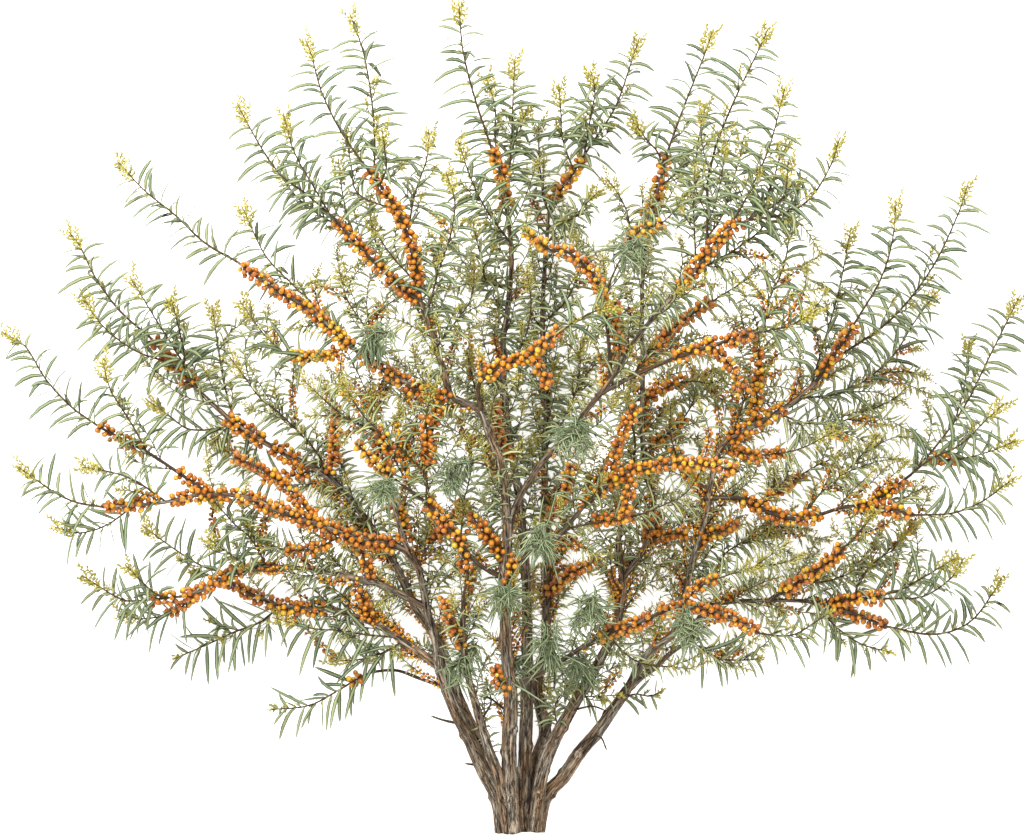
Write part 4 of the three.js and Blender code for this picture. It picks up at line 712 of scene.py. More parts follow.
def add_plume(pile, shoot, rng, reach, kind):
    """The pale growing tip of a shoot: a spike of buds with forked spikes round it."""
    shape = BUD if kind.shape is FULL_LEAF else SMALL_BUD
    add_buds(pile, shoot, rng, shoot.length - reach * SPIKE_SHARE, BUD_PITCH, kind.bud, shape)
    for k in range(kind.forks):
        s = shoot.length - reach * (0.1 + 0.9 * (k + rng.uniform(0, 1)) / kind.forks)
        turn = k * math.pi + rng.normal(0, 0.5)
        length = reach * rng.uniform(0.4, 0.65)
        fork = side_branch(shoot, s, turn, PLUME_ANGLE, length, PLUME_RADIUS, rng, flatten=0.5)
        add_twig(pile, fork, FORK_SIDES, FORK_STEP, SLOT_BUD)
        add_buds(pile, fork, rng, fork.length * 0.15, FORK_BUD_PITCH, kind.bud * FORK_BUD, shape)


LONGEST_PLUME = 0.36  # as a share of its shoot
BARE_PLUME = 0.65  # the share of the plume that has buds and no leaves
FIRST_LEAF = 6.0


def add_shoot(pile, shoot, rng, kind, length, first):
    """A leafy shoot: its twig, its leaves and the plume of buds at its tip."""
    add_twig(pile, shoot, kind.sides)
    plume = min(kind.plume, shoot.length * LONGEST_PLUME)
    add_leaves(pile, shoot, rng, kind, first, shoot.length - plume * BARE_PLUME, length)
    add_plume(pile, shoot, rng, plume, kind)


MOP_REACH = 50.0
MOP_LEAF = 34.0
MOP_FORKS = 7
MOP_ANGLE, MOP_RADIUS = 1.0, 0.8  # of its forks
MOP_FORK_LEAF = 0.85  # as a share of a leaf on the shoot itself


def add_mop(pile, shoot, rng):
    """A shoot that points at the viewer: its leaves and those of its short forks arch over and hang."""
    add_twig(pile, shoot)
    add_leaves(pile, shoot, rng, FRONT, shoot.length - MOP_REACH, shoot.length + 1, MOP_LEAF)
    for k in range(MOP_FORKS):
        s = shoot.length - MOP_REACH * (0.05 + 0.12 * k)
        turn = k * GOLDEN_ANGLE + rng.normal(0, 0.3)
        length = rng.uniform(16, 32)
        fork = side_branch(shoot, s, turn, MOP_ANGLE, length, MOP_RADIUS, rng, upward=-0.1, flatten=1.0)
        add_twig(pile, fork, FORK_SIDES, FORK_STEP)
        add_leaves(pile, fork, rng, FRONT_FORK, 2, fork.length + 1, MOP_LEAF * MOP_FORK_LEAF)


SIDE_CLEARANCE = 4.0  # the least height of a side branch's centreline above the floor
SIDE_SHARES = np.array([0, 0.35, 0.7, 1.0])[:, None]


def side_branch(parent, s, turn, angle, length, radius, rng, upward=0.25, flatten=0.75):
    """A short branch that leaves its parent at a distance and a turn, and bends towards the crown."""
    centre, run, _, _, _ = parent.at(s)
    _, young = leaf_directions(run, np.array([turn]), np.array([angle]), flatten)
    bend = unit(run[0] * 0.8 - GROWN_DOWN * upward + rng.normal(0, 0.16, 3))
    t = SIDE_SHARES
    points = centre[0] + length * (young[0] * (t - 0.4 * t * t) + bend * 0.55 * t * t)
    points[:, 2] = np.maximum(points[:, 2], FLOOR + SIDE_CLEARANCE)
    return Branch(parent.name + "_side", points, radius, radius * 0.6, parent)


# ---------------------------------------------------------------- berries
BERRY_TIP = 1.06
BERRY_LONG = 1.08
SHOWN_TWIG = 0.6  # few berries sit where their way out rises more than this, so the twig shows from the front
FRONT_SHARE = 0.18
NEAREST = 0.95  # of a berry's radius, between the bark and the middle of the nearest berries
TOUCHING = 0.97  # of two radii, the least distance between two berries

# How berries sit on a twig: tries for each millimetre, layers, radius, heights of a berry's rings along its
# long axis and their radii, both for a berry of radius 1, its sides, and whether it shows a stalk.
Fruit = namedtuple("Fruit", "tries layers size heights radii sides stalks")
CLUSTER = Fruit(11.0, 2.05, BERRY_RADIUS, np.array([-0.84, -0.25, 0.42, 0.87]),
                np.array([0.54, 0.97, 0.9, 0.43]), 7, True)
INNER_FRUIT = Fruit(5.0, 1.7, 2.5, np.array([-0.45, 0.5]), np.array([0.9, 0.88]), 5, False)
INNER_YELLOW = 0.35
SLOT_BERRY, SLOT_STALK = 0, 1


def add_berries(pile, centre, axis, size, tint, rng, fruit):
    """Many berries at once, each with its long axis away from its twig and a dark nub at its tip."""
    n = len(centre)
    side = turned_off(rng.normal(0, 1, (n, 3)), axis)
    rise = np.cross(axis, side)
    turn = np.arange(fruit.sides) * 2 * np.pi / fruit.sides
    flat = np.cos(turn)[None, :, None] * side[:, None] + np.sin(turn)[None, :, None] * rise[:, None]
    ring = size[:, None, None, None] * (
        fruit.radii[None, :, None, None] * flat[:, None]
        + fruit.heights[None, :, None, None] * axis[:, None, None] * BERRY_LONG
    )
    tip = size[:, None, None] * axis[:, None] * BERRY_TIP * BERRY_LONG
    points = np.concatenate([ring.reshape(n, -1, 3), tip], axis=1) + centre[:, None]
    along = np.append(np.repeat((fruit.heights + 1) / 2, fruit.sides), 1.04)
    youth = rng.uniform(0, 1, n)
    add_copies(pile, points, len(fruit.radii), fruit.sides, SLOT_BERRY, along, tint, youth)


def pack_berries(pile, branch, start, end, rng, yellow, fruit=CLUSTER):
    """Berries pressed close round a twig, each on a short stalk."""
    tries = int((end - start) * fruit.tries)
    s = rng.uniform(start, end, tries)
    turn = rng.uniform(0, 2 * np.pi, tries)
    centre, _, side, rise, radius = branch.at(s)
    out = side * np.cos(turn)[:, None] + rise * np.sin(turn)[:, None]
    outer = rng.uniform(0, 1, tries) ** 1.5 * (fruit.layers - NEAREST)
    away = radius + fruit.size * (NEAREST + outer)
    middle = centre + out * away[:, None]
    order = np.argsort(away + rng.uniform(0, 2, tries))
    sizes = fruit.size * rng.uniform(0.8, 1.1, tries)
    in_front = (out[:, 2] > SHOWN_TWIG) & (rng.uniform(0, 1, tries) > FRONT_SHARE)
    left_out = (middle[:, 2] < FLOOR + fruit.size) | in_front
    kept = []
    for k in order:
        if left_out[k]:
            continue
        if kept:
            gap = np.linalg.norm(middle[kept] - middle[k], axis=1)
            if np.any(gap < (sizes[kept] + sizes[k]) * TOUCHING):
                continue
        kept.append(k)
    n = len(kept)
    if n == 0:
        return
    axis = unit(out[kept] + rng.normal(0, 0.3, (n, 3)))
    tint = np.where(rng.uniform(0, 1, n) < yellow, rng.uniform(0.7, 1, n), rng.uniform(0, 0.66, n))
    add_berries(pile, middle[kept], axis, sizes[kept], tint, rng, fruit)
    if fruit.stalks:
        root = centre[kept] + out[kept] * radius[kept][:, None] * 0.5
        way = middle[kept] - root
        add_blades(pile, root, unit(way), axis, rng.normal(0, 1, (n, 3)), np.linalg.norm(way, axis=1),
                   0.9, 0.6, STALK, SLOT_STALK, 0.5, 0.5, 0.0)


# Each row: name, carrier (a shoot's name has "shoot " before it), start, end, share of yellow berries.
CLUSTERS = [
    ("L6", "L6", (-50, 129), (-69.5, 142.7), 0.2),
    ("L6in", "L6", (-22, 111), (-40, 120.5), 0.1),
    ("L8", "L8", (-25, 133.5), (-45.5, 153.5), 0.1),
    ("L9", "L9", (-25, 138), (-37.5, 166), 0.1),
    ("C0", "S4", (-3, 157), (-6.8, 171), 0.2),
    ("C1", "C1", (-9, 114), (10, 126), 0.3),
    ("R1", "R1", (40, 136.5), (55.5, 153), 0.15),
    ("R2", "R2", (33.5, 155), (37, 170.3), 0.3),
    ("R5", "R5", (39, 119.3), (59, 125.3), 0.25),
    ("R10", "R10b", (75, 115), (83.3, 127.2), 0.1),
    ("R7", "R7", (20, 86), (54, 91), 0.35),
    ("R13", "R13", (55.5, 84), (75.5, 79.8), 0.15),
    ("Rlow", "Rlow", (78, 57.2), (91.8, 52), 0.1),
    ("R12", "R12", (66.5, 61), (80.8, 71.3), 0.2),
    ("B", "B", (35, 55), (59.5, 50.7), 0.1),
    ("L3", "L3", (-31, 72.2), (-68, 84.3), 0.1),
    ("L3c", "L3", (-92, 82.8), (-103.8, 82), 0.15),
    ("L2", "L2", (-61, 66.9), (-84.5, 59.6), 0.15),
    ("L5", "L5", (-82, 113), (-91.8, 123.8), 0.1),
    ("L4", "L4", (-93.5, 96), (-104.8, 102), 0.15),
]

# Each row: name, carrier, start, end, share of yellow: more berries on the limbs of the solids.
MORE_CLUSTERS = [
    ("L6mid", "L6", (-41.5, 122), (-49.5, 128.5), 0.7),
    ("L5mid", "L5", (-64, 98.5), (-73, 104.5), 0.15),
    ("L5in", "L5", (-54, 93), (-62, 97.3), 0.15),
    ("L4in", "L4", (-78, 85.5), (-85, 90.5), 0.3),
    ("L3mid", "L3", (-69, 84.4), (-87, 83.6), 0.2),
    ("L1", "L1", (-48.5, 56.2), (-63, 58.5), 0.15),
    ("L1out", "L1", (-64, 59), (-74.5, 63.8), 0.1),
    ("S5", "S5", (8.3, 159), (12, 163.5), 0.5),
    ("C2", "C2", (21.5, 129), (9, 145.9), 0.2),
    ("R10mid", "R10", (53, 98.8), (66, 107), 0.2),
    ("R2low", "R2", (32, 74), (34, 81), 0.2),
    ("R13out", "R13", (84, 82.2), (98.5, 80.2), 0.2),
    ("R9", "R9", (89, 84.3), (97, 89), 0.15),
    ("Bin", "B", (20, 49.5), (33.5, 54.5), 0.15),
    ("R14", "R14", (79, 58), (91.5, 59), 0.2),
    ("M3", "M3", (-14, 73), (-23, 83), 0.2),
    ("L2shoot", "shoot L2", (-85.5, 59.5), (-92, 58.8), 0.2),
    ("UM", "shoot UM", (12.5, 164), (16.5, 170), 0.4),
    ("C2tip", "shoot C2tip", (7.5, 146), (2, 150.5), 0.7),
    ("C2b", "shoot C2b", (26, 145.5), (35.5, 153), 0.8),
    ("R6", "shoot R6", (33, 121), (48, 133.5), 0.1),
    ("R9side", "shoot R9_side1", (103, 94), (109.5, 94), 0.1),
    ("R7b", "shoot R7b", (19, 78.2), (28, 79.6), 0.2),
    ("M3c", "shoot M3c", (-31, 94), (-35.5, 101.5), 0.2),
    ("M3d", "shoot M3d", (-23, 93), (-23, 105), 0.1),
    ("S1in", "shoot S1in", (-21, 74), (-14, 84), 0.1),
    ("S1tip", "shoot S1tip", (-33, 90), (-36, 101), 0.4),
    ("S2tip", "shoot S2tip", (-13, 66), (-14.5, 76), 0.2),
    ("R2f", "shoot R2f", (34, 98), (41, 104.5), 0.2),
    ("R10h", "shoot R10h", (53, 96.4), (66, 95.6), 0.2),
    ("R13c", "shoot R13c", (63, 84.3), (71, 90.3), 0.3),
    ("L3d", "shoot L3d", (-47, 73.6), (-58, 71.4), 0.1),
    ("L2f", "shoot L2f", (-81, 60), (-87, 55.6), 0.2),
    ("Bb", "shoot Bb", (42, 59), (50, 64.3), 0.1),
    ("L5h", "shoot L5h", (-53, 91), (-64, 89.6), 0.1),
    ("L6c", "shoot L6c", (-46, 120.4), (-57, 120), 0.7),
    ("R10e", "shoot R10e", (46, 88), (39, 97), 0.2),
    ("R2d", "shoot R2d", (33, 109.4), (42, 113.4), 0.2),
    ("L0", "shoot L0", (-39.5, 39.4), (-42.5, 38), 0.3),
]

# Bare twigs full of berries inside the crown: name, parent, height of the end, yellow share, route.
BERRY_TWIGS = [
    ("L5g", "L5", 120, 0.15, [(-47, 90), (-46.5, 94), (-46, 106)]),
    ("L3g", "L3", 130, 0.1, [(-50, 77.5), (-57, 86), (-64, 91), (-71, 94.5)]),
    ("L1g", "L2", 130, 0.1, [(-36, 63), (-38, 67), (-40, 72)]),
    ("L1h", "L1", 110, 0.1, [(-38, 53.3), (-38.5, 58), (-41, 61.5)]),
    ("C1low", "C1", 300, 0.2, [(2.5, 120), (5, 117), (7.5, 112.5)]),
    ("R7low", "R7", 270, 0.1, [(27, 90.6), (27.5, 86), (26, 79)]),
    ("R7up", "R7", 250, 0.1, [(22, 88), (24, 95), (26, 101), (29, 107)]),
    ("R10in", "R10", 130, 0.2, [(45.5, 74), (50, 76), (54.5, 77.3)]),
    ("R2in", "R2", 110, 0.2, [(32, 74), (37, 75), (42, 75.5)]),
    ("R10up", "R10", 160, 0.3, [(59, 102.5), (59.5, 110), (60, 121)]),
    ("S3low", "S3", 150, 0.1, [(-3, 35), (-4.5, 38), (-6, 41.5)]),
    ("S3mid", "S3", 200, 0.2, [(-3.5, 61), (-2, 65), (-1, 69.5)]),
    ("S3up", "S3", 220, 0.1, [(-3.3, 69), (-7, 74), (-12, 80)]),
    ("S5mid", "S5", 80, 0.1, [(7, 60), (12, 64.5), (20, 69)]),
    ("S5up", "S5", 130, 0.1, [(7, 78), (11, 84), (13, 92)]),
    ("S4up", "S4", 190, 0.2, [(-1.5, 94), (-5, 100), (-6, 108)]),
    ("M3g", "M3", 280, 0.7, [(-31, 89), (-36, 93), (-40.5, 98)]),
    ("S2up", "S2", 190, 0.1, [(-14, 46), (-16.5, 52), (-19, 59)]),
    ("F1g", "F1", 250, 0.2, [(-18, 112), (-21, 104), (-22, 96)]),
    ("R1g", "R1", 260, 0.3, [(26, 119), (24, 126), (24, 133)]),
    ("R5g", "R5", 240, 0.2, [(48, 122.3), (53, 117), (56, 111)]),
    ("S1g", "S1", 140, 0.1, [(-28, 72), (-29, 79), (-33, 86)]),
]

# ---------------------------------------------------------------- bark
KNOT_GAP = 31.0  # between the knots of old shoots along a branch
KNOT_LENGTH = 4.5
KNOT_HEIGHT = 0.3  # as a share of the radius
STEM_RELIEF, LIMB_RELIEF = 0.085, 0.06  # as shares of the radius


def ridges(branch, depth):
    """Lengthwise ridges and fissures of old bark, and the knots of old shoots."""
    phase = np.sum(np.abs(branch.points[0])) * 0.37 + len(branch.name)
    knots = np.arange(17.0 + phase % 9, branch.length, KNOT_GAP)

    def relief(s, turn):
        drift = 1.1 * np.sin(s / 31 + phase) + 0.6 * np.sin(s / 13 + 2 * phase)
        fine = np.abs(np.sin(2.5 * turn + drift + phase))
        fine = fine + 0.6 * np.abs(np.sin(4 * turn - s / 43 + 2 * drift))
        rough = np.sin(s / 2.9 + 5 * turn + phase) * np.sin(s / 5.3 - 3 * turn)
        level = depth * (fine - 0.95) + depth * 0.35 * rough
        for k, knot in enumerate(knots):
            facing = np.exp(2.5 * (np.cos(turn - k * GOLDEN_ANGLE - phase) - 1))
            level = level + KNOT_HEIGHT * facing * np.exp(-(((s - knot) / KNOT_LENGTH) ** 2))
        return level

    return relief


CUT_NAMES = [name for name, *_ in STEMS] + ["crown"]
CUT_STEP = 0.35  # each cut lies this much further up than the one before, so no two lie in one plane
ROOT_DEPTH = 6.0  # how far a limb starts inside the wood that carries it
FLARE, FLARE_LENGTH = 0.1, 40.0  # of a stem at the cut
SWELL, SWELL_PLACE, SWELL_LENGTH = 0.16, 150.0, 110.0  # of a stem where it forks most
FORK_FLARE, FORK_LENGTH = 0.55, 2.2  # the length as a share of the limb's radius
WIDEST_FORK = 0.95  # as a share of the wood that carries it
SNAG_POINT = 3.0


def add_wood(pile, branch, sides, step, depth):
    """A stem or limb, with a flare where it leaves the wood that carries it."""
    stem = branch.parent is None or branch.name == "crown"
    start = 0.0 if stem else -ROOT_DEPTH
    s = np.linspace(start, branch.length + 1.0, int((branch.length - start) / step) + 2)
    radii = np.interp(s, branch.s, branch.radii)
    cut = None
    if stem:
        swell = SWELL * np.exp(-(((s - SWELL_PLACE) / SWELL_LENGTH) ** 2))
        radii = radii * (1 + FLARE * np.exp(-s / FLARE_LENGTH) + swell)
        cut = CUT_NAMES.index(branch.name) * CUT_STEP
    else:
        inside = branch.parent.at(branch.parent.nearest(*branch.points[0][:2]))[4][0]
        past = np.maximum(0, s - inside * 0.7)
        radii = radii * (1 + FORK_FLARE * np.exp(-past / (branch.radii[0] * FORK_LENGTH)))
        radii = np.minimum(radii, max(inside * WIDEST_FORK, branch.radii[0]))
    if branch.name.startswith("snag"):
        radii = radii * np.clip((branch.length + 1.5 - s) / SNAG_POINT, 0.35, 1)
    add_tube(pile, branch, s, radii, sides, 0, ridges(branch, depth), cut=cut)


# ---------------------------------------------------------------- growing the branches
rng = np.random.default_rng(SEED)
branches = {}
for name, start_radius, end_radius, start_height, end_height, route in STEMS:
    branches[name] = drawn(name, None, (start_radius, end_radius), end_height, route, start_height)
for name, parent, start_radius, end_radius, end_height, route in LIMBS:
    branches[name] = drawn(name, branches[parent], (start_radius, end_radius), end_height, route)

sprays = {}  # the shoots of each spray, by the spray's name
for name, parent, start_radius, end_radius, end_height, route in SHOOTS + THIN_SHOOTS:
    of_shoot = name.startswith(parent + "_")
    carrier = branches["shoot " + parent if of_shoot else parent]
    shoot = drawn(name, carrier, (start_radius, end_radius), end_height, route)
    branches["shoot " + name] = shoot
    sprays.setdefault(parent if of_shoot else name, []).append(shoot)

# ---------------------------------------------------------------- parts of the fan
SECTORS = ["low_left", "left", "upper_left", "top_left", "top_right", "upper_right", "right", "low_right"]
SECTOR_START = math.radians(170)
SECTOR_WIDTH = math.radians(20)
LEFT_EDGE, RIGHT_EDGE = -105, 150  # of the berries that go into the middle piece

foliage = {key: Pile() for key in SECTORS}
replaced = {key: [] for key in SECTORS}
berries = {key: Pile() for key in ("left", "centre", "right", "inner")}
berry_nodes = {key: [] for key in berries}


def sector(point):
    """The part of the fan that a point is in, seen from the cut."""
    angle = math.atan2(point[1], point[0])
    return SECTORS[int(np.clip((SECTOR_START - angle) / SECTOR_WIDTH, 0, len(SECTORS) - 1))]


def berry_part(point):
    return "left" if point[0] < LEFT_EDGE else "right" if point[0] > RIGHT_EDGE else "centre"


# Where the dense crown ends, so that no filling shoot reaches past it.
CROWN_EDGE = np.array([
    (-71, 59), (-76, 72), (-70, 84), (-80, 91), (-76, 101), (-82, 109), (-76, 121), (-63, 134), (-55, 141),
    (-47, 153), (-37, 163), (-23, 170), (-12, 171), (-5, 181), (8, 180), (18, 176), (30, 176), (43, 179),
    (53, 176), (63, 168), (70, 157), (70, 149), (83, 143), (93, 140), (97, 131), (103, 121), (109, 109),
    (105, 94), (110, 84), (100, 73), (101, 65), (93, 56), (75, 49), (55, 45), (30, 39), (10, 36), (-10, 36),
    (-22, 45), (-35, 44), (-50, 49),
]) * GRID


def in_crown(point):
    """Whether a point is inside the edge of the dense crown, by counting the sides past it."""
    low, high = CROWN_EDGE, np.roll(CROWN_EDGE, -1, axis=0)
    spans = (low[:, 1] > point[1]) != (high[:, 1] > point[1])
    crossing = low[:, 0] + (point[1] - low[:, 1]) * (high[:, 0] - low[:, 0]) / (high[:, 1] - low[:, 1] + 1e-9)
    return np.count_nonzero(spans & (crossing > point[0])) % 2 == 1


# ---------------------------------------------------------------- leafy sprays
FRONT_SPRAYS = {"front1", "front2"}
THIN_NAMES = {row[0] for row in THIN_SHOOTS}
HANGING = {"L0", "L1b", "L1c", "S5t", "S6t", "S6u"}
GREEN_TIPS = {"L0", "L1b", "S7low", "B", "Bc", "S7tuft", "S5t", "S6t", "S6u", "Rlowb"}
SHORT_LEAVES = {"S5t", "S6t", "S6u", "S7tuft"}
SHORT, LONG, INSIDE = 0.75, 1.05, 0.68  # lengths of leaves as shares of the usual
HANGING_DROOP = 1.6
GREEN_FORKS, GREEN_PLUME = 1, 12.0  # of the few buds on a green tip
FRONT_RADII = (1.3, 0.9)
BARE_SHARE = 0.6  # of the stretch up to the end of the berries that a shoot carries


def first_leaf(shoot):
    """Where the leaves of a shoot may start: past most of the berries that it carries."""
    for _, carrier, start, end, _ in MORE_CLUSTERS:
        if carrier == "shoot " + shoot.name:
            return shoot.stretch(start, end)[1] * BARE_SHARE
    return FIRST_LEAF


def grow_spray_shoot(pile, shoot, spray):
    """One shoot of a spray, with leaves as its place asks."""
    inner = shoot.name in THIN_NAMES and spray not in HANGING and in_crown(shoot.points[-1])
    kind = INNER if inner else OUTER
    length = LEAF_LENGTH * (SHORT if spray in SHORT_LEAVES else LONG if spray in HANGING else 1.0)
    if inner:
        length *= INSIDE
    if spray in HANGING:
        kind = kind._replace(hang=HANGING_DROOP)
    if spray in GREEN_TIPS:
        kind = kind._replace(forks=GREEN_FORKS, plume=GREEN_PLUME)
    add_shoot(pile, shoot, rng, kind, length, first_leaf(shoot))


for name, shoots in sprays.items():
    key = sector(shoots[0].points[-1])
    if "leafy_spray_" + name in frame["nodes"]:
        replaced[key].append("leafy_spray_" + name)
    for shoot in shoots:
        if name in FRONT_SPRAYS:
            add_mop(foliage[key], shoot, rng)
        else:
            grow_spray_shoot(foliage[key], shoot, name)

# Shoots that point at the viewer, each a mop of long hanging leaves: name, parent, height of the end, route.
FRONT_SHOOTS = [
    ("whorl1", "R1", 298, [(15, 104), (13.5, 100)]),
    ("whorl2", "B", 222, [(22, 50), (18, 58.5), (17.5, 56)]),
    ("whorl3", "S3", 218, [(-3.5, 60), (-4, 60.5)]),
    ("whorl4", "B", 198, [(9, 42.5), (6.5, 49.5)]),
    ("whorl5", "shoot C2b", 318, [(26.5, 146), (28.5, 147)]),
    ("whorl6", "B", 250, [(41, 57), (43, 51)]),
    ("whorl7", "S2", 160, [(-14, 45), (-16, 42)]),
    ("whorl8", "S3", 266, [(-4, 90), (-10, 93), (-16, 92), (-17.5, 89)]),
    ("whorl9", "L6", 289, [(-39, 119), (-37, 124), (-35.5, 126)]),
    ("whorl10", "S6", 122, [(16, 36), (15.5, 43.5), (15, 44)]),
    ("whorl11", "S3", 110, [(-2.3, 38), (-1, 44), (-0.5, 44.5)]),
]
for name, parent, end_height, route in FRONT_SHOOTS:
    shoot = drawn(name, branches[parent], FRONT_RADII, end_height, route)
    add_mop(foliage[sector(shoot.points[-1])], shoot, rng)

# ---------------------------------------------------------------- side shoots
SHOWN_LIMBS = ["S1", "S3", "S5", "F1", "L1", "L2", "L3", "L5", "L6", "L8", "L9", "C1", "C2", "R1", "R5", "R7",
               "R10", "R13", "Rlow", "B", "M3"]
LIMB_GAP = 11.0
CLUSTER_GAP = 21.0
CLUSTER_STEP = 8.0
IN_FRONT = -6.0  # rise over a limb or a cluster above which a shoot would hide it
FREE_START = 18.0  # the first stretch of a side shoot, which may pass over its neighbours
BARE_START = 4.0  # the first stretch without leaves or berries
FRUIT_HALF = 0.5  # of a side shoot with berries, its older part
OVERLAP = 8.0  # how far the berries reach in among the leaves
BEFORE, AFTER = 4.0, 6.0  # room round a stretch of berries, where no side shoot starts

stretches = {}  # the stretches of each branch that berries cover
shown = [(branches[name].points[::2], name, LIMB_GAP) for name in SHOWN_LIMBS]
for _, carrier, start, end, _ in CLUSTERS + MORE_CLUSTERS:
    first, last = branches[carrier].stretch(start, end)
    stretches.setdefault(carrier, []).append((first, last))
    shown.append((branches[carrier].at(np.arange(first, last, CLUSTER_STEP))[0], carrier, CLUSTER_GAP))
shown_points = np.vstack([points for points, _, _ in shown])
shown_names = np.concatenate([np.full(len(points), name, dtype=object) for points, name, _ in shown])
shown_gaps = np.concatenate([np.full(len(points), gap) for points, _, gap in shown])


def hides(path, own):
    """Whether a side shoot would pass in front of a limb or a cluster other than its own."""
    far = path.points[path.s > FREE_START]
    off = far[:, None] - shown_points[None]
    near = np.hypot(off[..., 0], off[..., 1]) < shown_gaps
    return bool(np.any(near & (off[..., 2] > IN_FRONT) & (shown_names != own)[None]))


def in_berries(name, s):
    return any(first - BEFORE < s < last + AFTER for first, last in stretches.get(name, []))


def add_side(side, s, leaf, kind, fruit, wanted=None):
    """A side shoot with small leaves, which may carry berries on its older half. It is left out where it
    would hide a limb or a cluster, or where the cover over it is more than the wanted one."""
    own = side.parent.name if side.parent.name in branches else "shoot " + side.parent.name
    if hides(side, own) or in_berries(own, s):
        return
    if wanted is not None and cover.mean(side.points[len(side.points) // 3:]) > wanted:
        return
    start = BARE_START
    if fruit:
        start = side.length * FRUIT_HALF
        pack_berries(berries["inner"], side, BARE_START, start + OVERLAP, rng, INNER_YELLOW, INNER_FRUIT)
    add_shoot(foliage[sector(side.points[-1])], side, rng, kind, leaf, start)


# Where side shoots grow: branch, first and last distance as shares of its length, spacing.
SIDE_SHOOTS = [(name, 0.25, 1.0, 14) for name in (
    "F1", "L6", "C1", "L8", "L9", "R1", "R3", "C2", "R5", "R2", "R10b", "Rlow", "R14", "R12", "R7", "R13",
    "R9", "B", "L1", "L2", "L3", "L4", "M3")]
SIDE_SHOOTS += [("L5", 0.45, 1.0, 14), ("S1", 0.7, 1.0, 16), ("S3", 0.5, 1.0, 16), ("S4", 0.42, 1.0, 14),
                ("S5", 0.42, 1.0, 14), ("S6", 0.65, 1.0, 16), ("R10", 0.3, 1.0, 15), ("S2", 0.75, 1.0, 16)]
SIDE_RADIUS = 0.95
SIDE_TURN = math.pi * 0.9  # from one side shoot to the next
SHOOT_SPACING = 27.0  # of the smaller side shoots on the leafy shoots
FRUIT_LENGTH = 55.0  # side shoots shorter than this carry no berries
FRUIT_SHARE = 0.3
OUTSIDE_SHARE = 0.3  # of the side shoots outside the crown, those that are kept

for name, first, last, spacing in SIDE_SHOOTS:
    carrier = branches[name]
    turn = rng.uniform(0, 6.28)
    for s in np.arange(first * carrier.length + 6, last * carrier.length - 8, spacing):
        turn += SIDE_TURN + rng.normal(0, 0.5)
        length = rng.uniform(38, 90)
        fruit = length > FRUIT_LENGTH and rng.uniform(0, 1) < FRUIT_SHARE
        s = s + rng.uniform(-5, 5)
        side = side_branch(carrier, s, turn, rng.uniform(0.5, 0.95), length, SIDE_RADIUS, rng)
        add_side(side, s, rng.uniform(24, 32), SIDE, fruit)
for row in SHOOTS + THIN_SHOOTS:
    carrier = branches["shoot " + row[0]]
    turn = rng.uniform(0, 6.28)
    for s in np.arange(0.12 * carrier.length, 0.55 * carrier.length, SHOOT_SPACING):
        turn += SIDE_TURN + rng.normal(0, 0.5)
        angle, length, leaf = rng.uniform(0.45, 0.8), rng.uniform(22, 44), rng.uniform(21, 28)
        if in_crown(carrier.at(s)[0][0]) or rng.uniform(0, 1) < OUTSIDE_SHARE:
            side = side_branch(carrier, s, turn, angle, length, SIDE_RADIUS, rng)
            add_side(side, s, leaf, SMALL_SIDE, False)

# ---------------------------------------------------------------- filling
# Thin shoots fill the crown behind the limbs until it is dense, but for some gaps. Gaps and denser spots:
# x, y and radius, on the grid.
FILL_TRIES = 9000
FILL_COVER = 1.2
DENSER = 1.5
CROWN_MIDDLE = np.array([40.0, 440.0])
CROWN_REACH = np.array([520.0, 380.0])
GAPS = [(-60, 109, 8), (-76, 122, 7), (21.5, 165, 7), (20, 152, 6), (83, 106, 7), (-43.5, 136, 7),
        (16, 116, 4), (45, 121, 4), (-46, 48, 7), (30, 60, 4), (-27, 167, 5), (54, 169, 5), (-27, 57, 6),
        (38, 41, 5), (103, 72, 7), (-94, 62, 6)]
DENSE = [(-42, 166, 6), (-22, 141, 9), (-34, 121, 7), (-58, 138, 6), (84, 80, 8), (4, 62, 4), (38, 105, 5),
         (-26, 105, 5), (-74, 74, 5)]
NEAR, FAR = 30.0, 90.0  # lengths of the filling shoots, seen from above
FORWARD = 0.5  # how much a filling shoot keeps of its carrier's direction
FILL_RADII = (0.95, 0.6)
NOT_CARRIERS = {"crown", "L0", "S7"}
FILL_CARRIERS = [branch for name, branch in branches.items()
                 if name not in NOT_CARRIERS and not name.startswith("snag")]
STATIONS = [(branch, k) for branch in FILL_CARRIERS for k in range(2, len(branch.s) - 2, 2)]
station_points = np.array([branch.points[k] for branch, k in STATIONS])
station_runs = np.array([branch.runs[k] for branch, k in STATIONS])


def in_spots(target, spots):
    return any(math.hypot(target[0] - x * GRID, target[1] - y * GRID) < size * GRID for x, y, size in spots)


def reaching_branch(parent, k, target):
    """A thin branch from a station of its parent to a point of the drawing, lower than where it starts."""
    start, run = parent.points[k], parent.runs[k]
    length = np.hypot(*(target - start[:2]))
    height = max(FLOOR + 5.0, start[2] - rng.uniform(0.0, 0.8) * length)
    end = np.array([*target, height])
    middle = start + (end - start) * 0.4 + run * length * 0.16 + rng.normal(0, 0.04, 3) * length
    middle[2] = max(middle[2], FLOOR + SIDE_CLEARANCE)
    return Branch(parent.name, [start, middle, end], *FILL_RADII, parent)


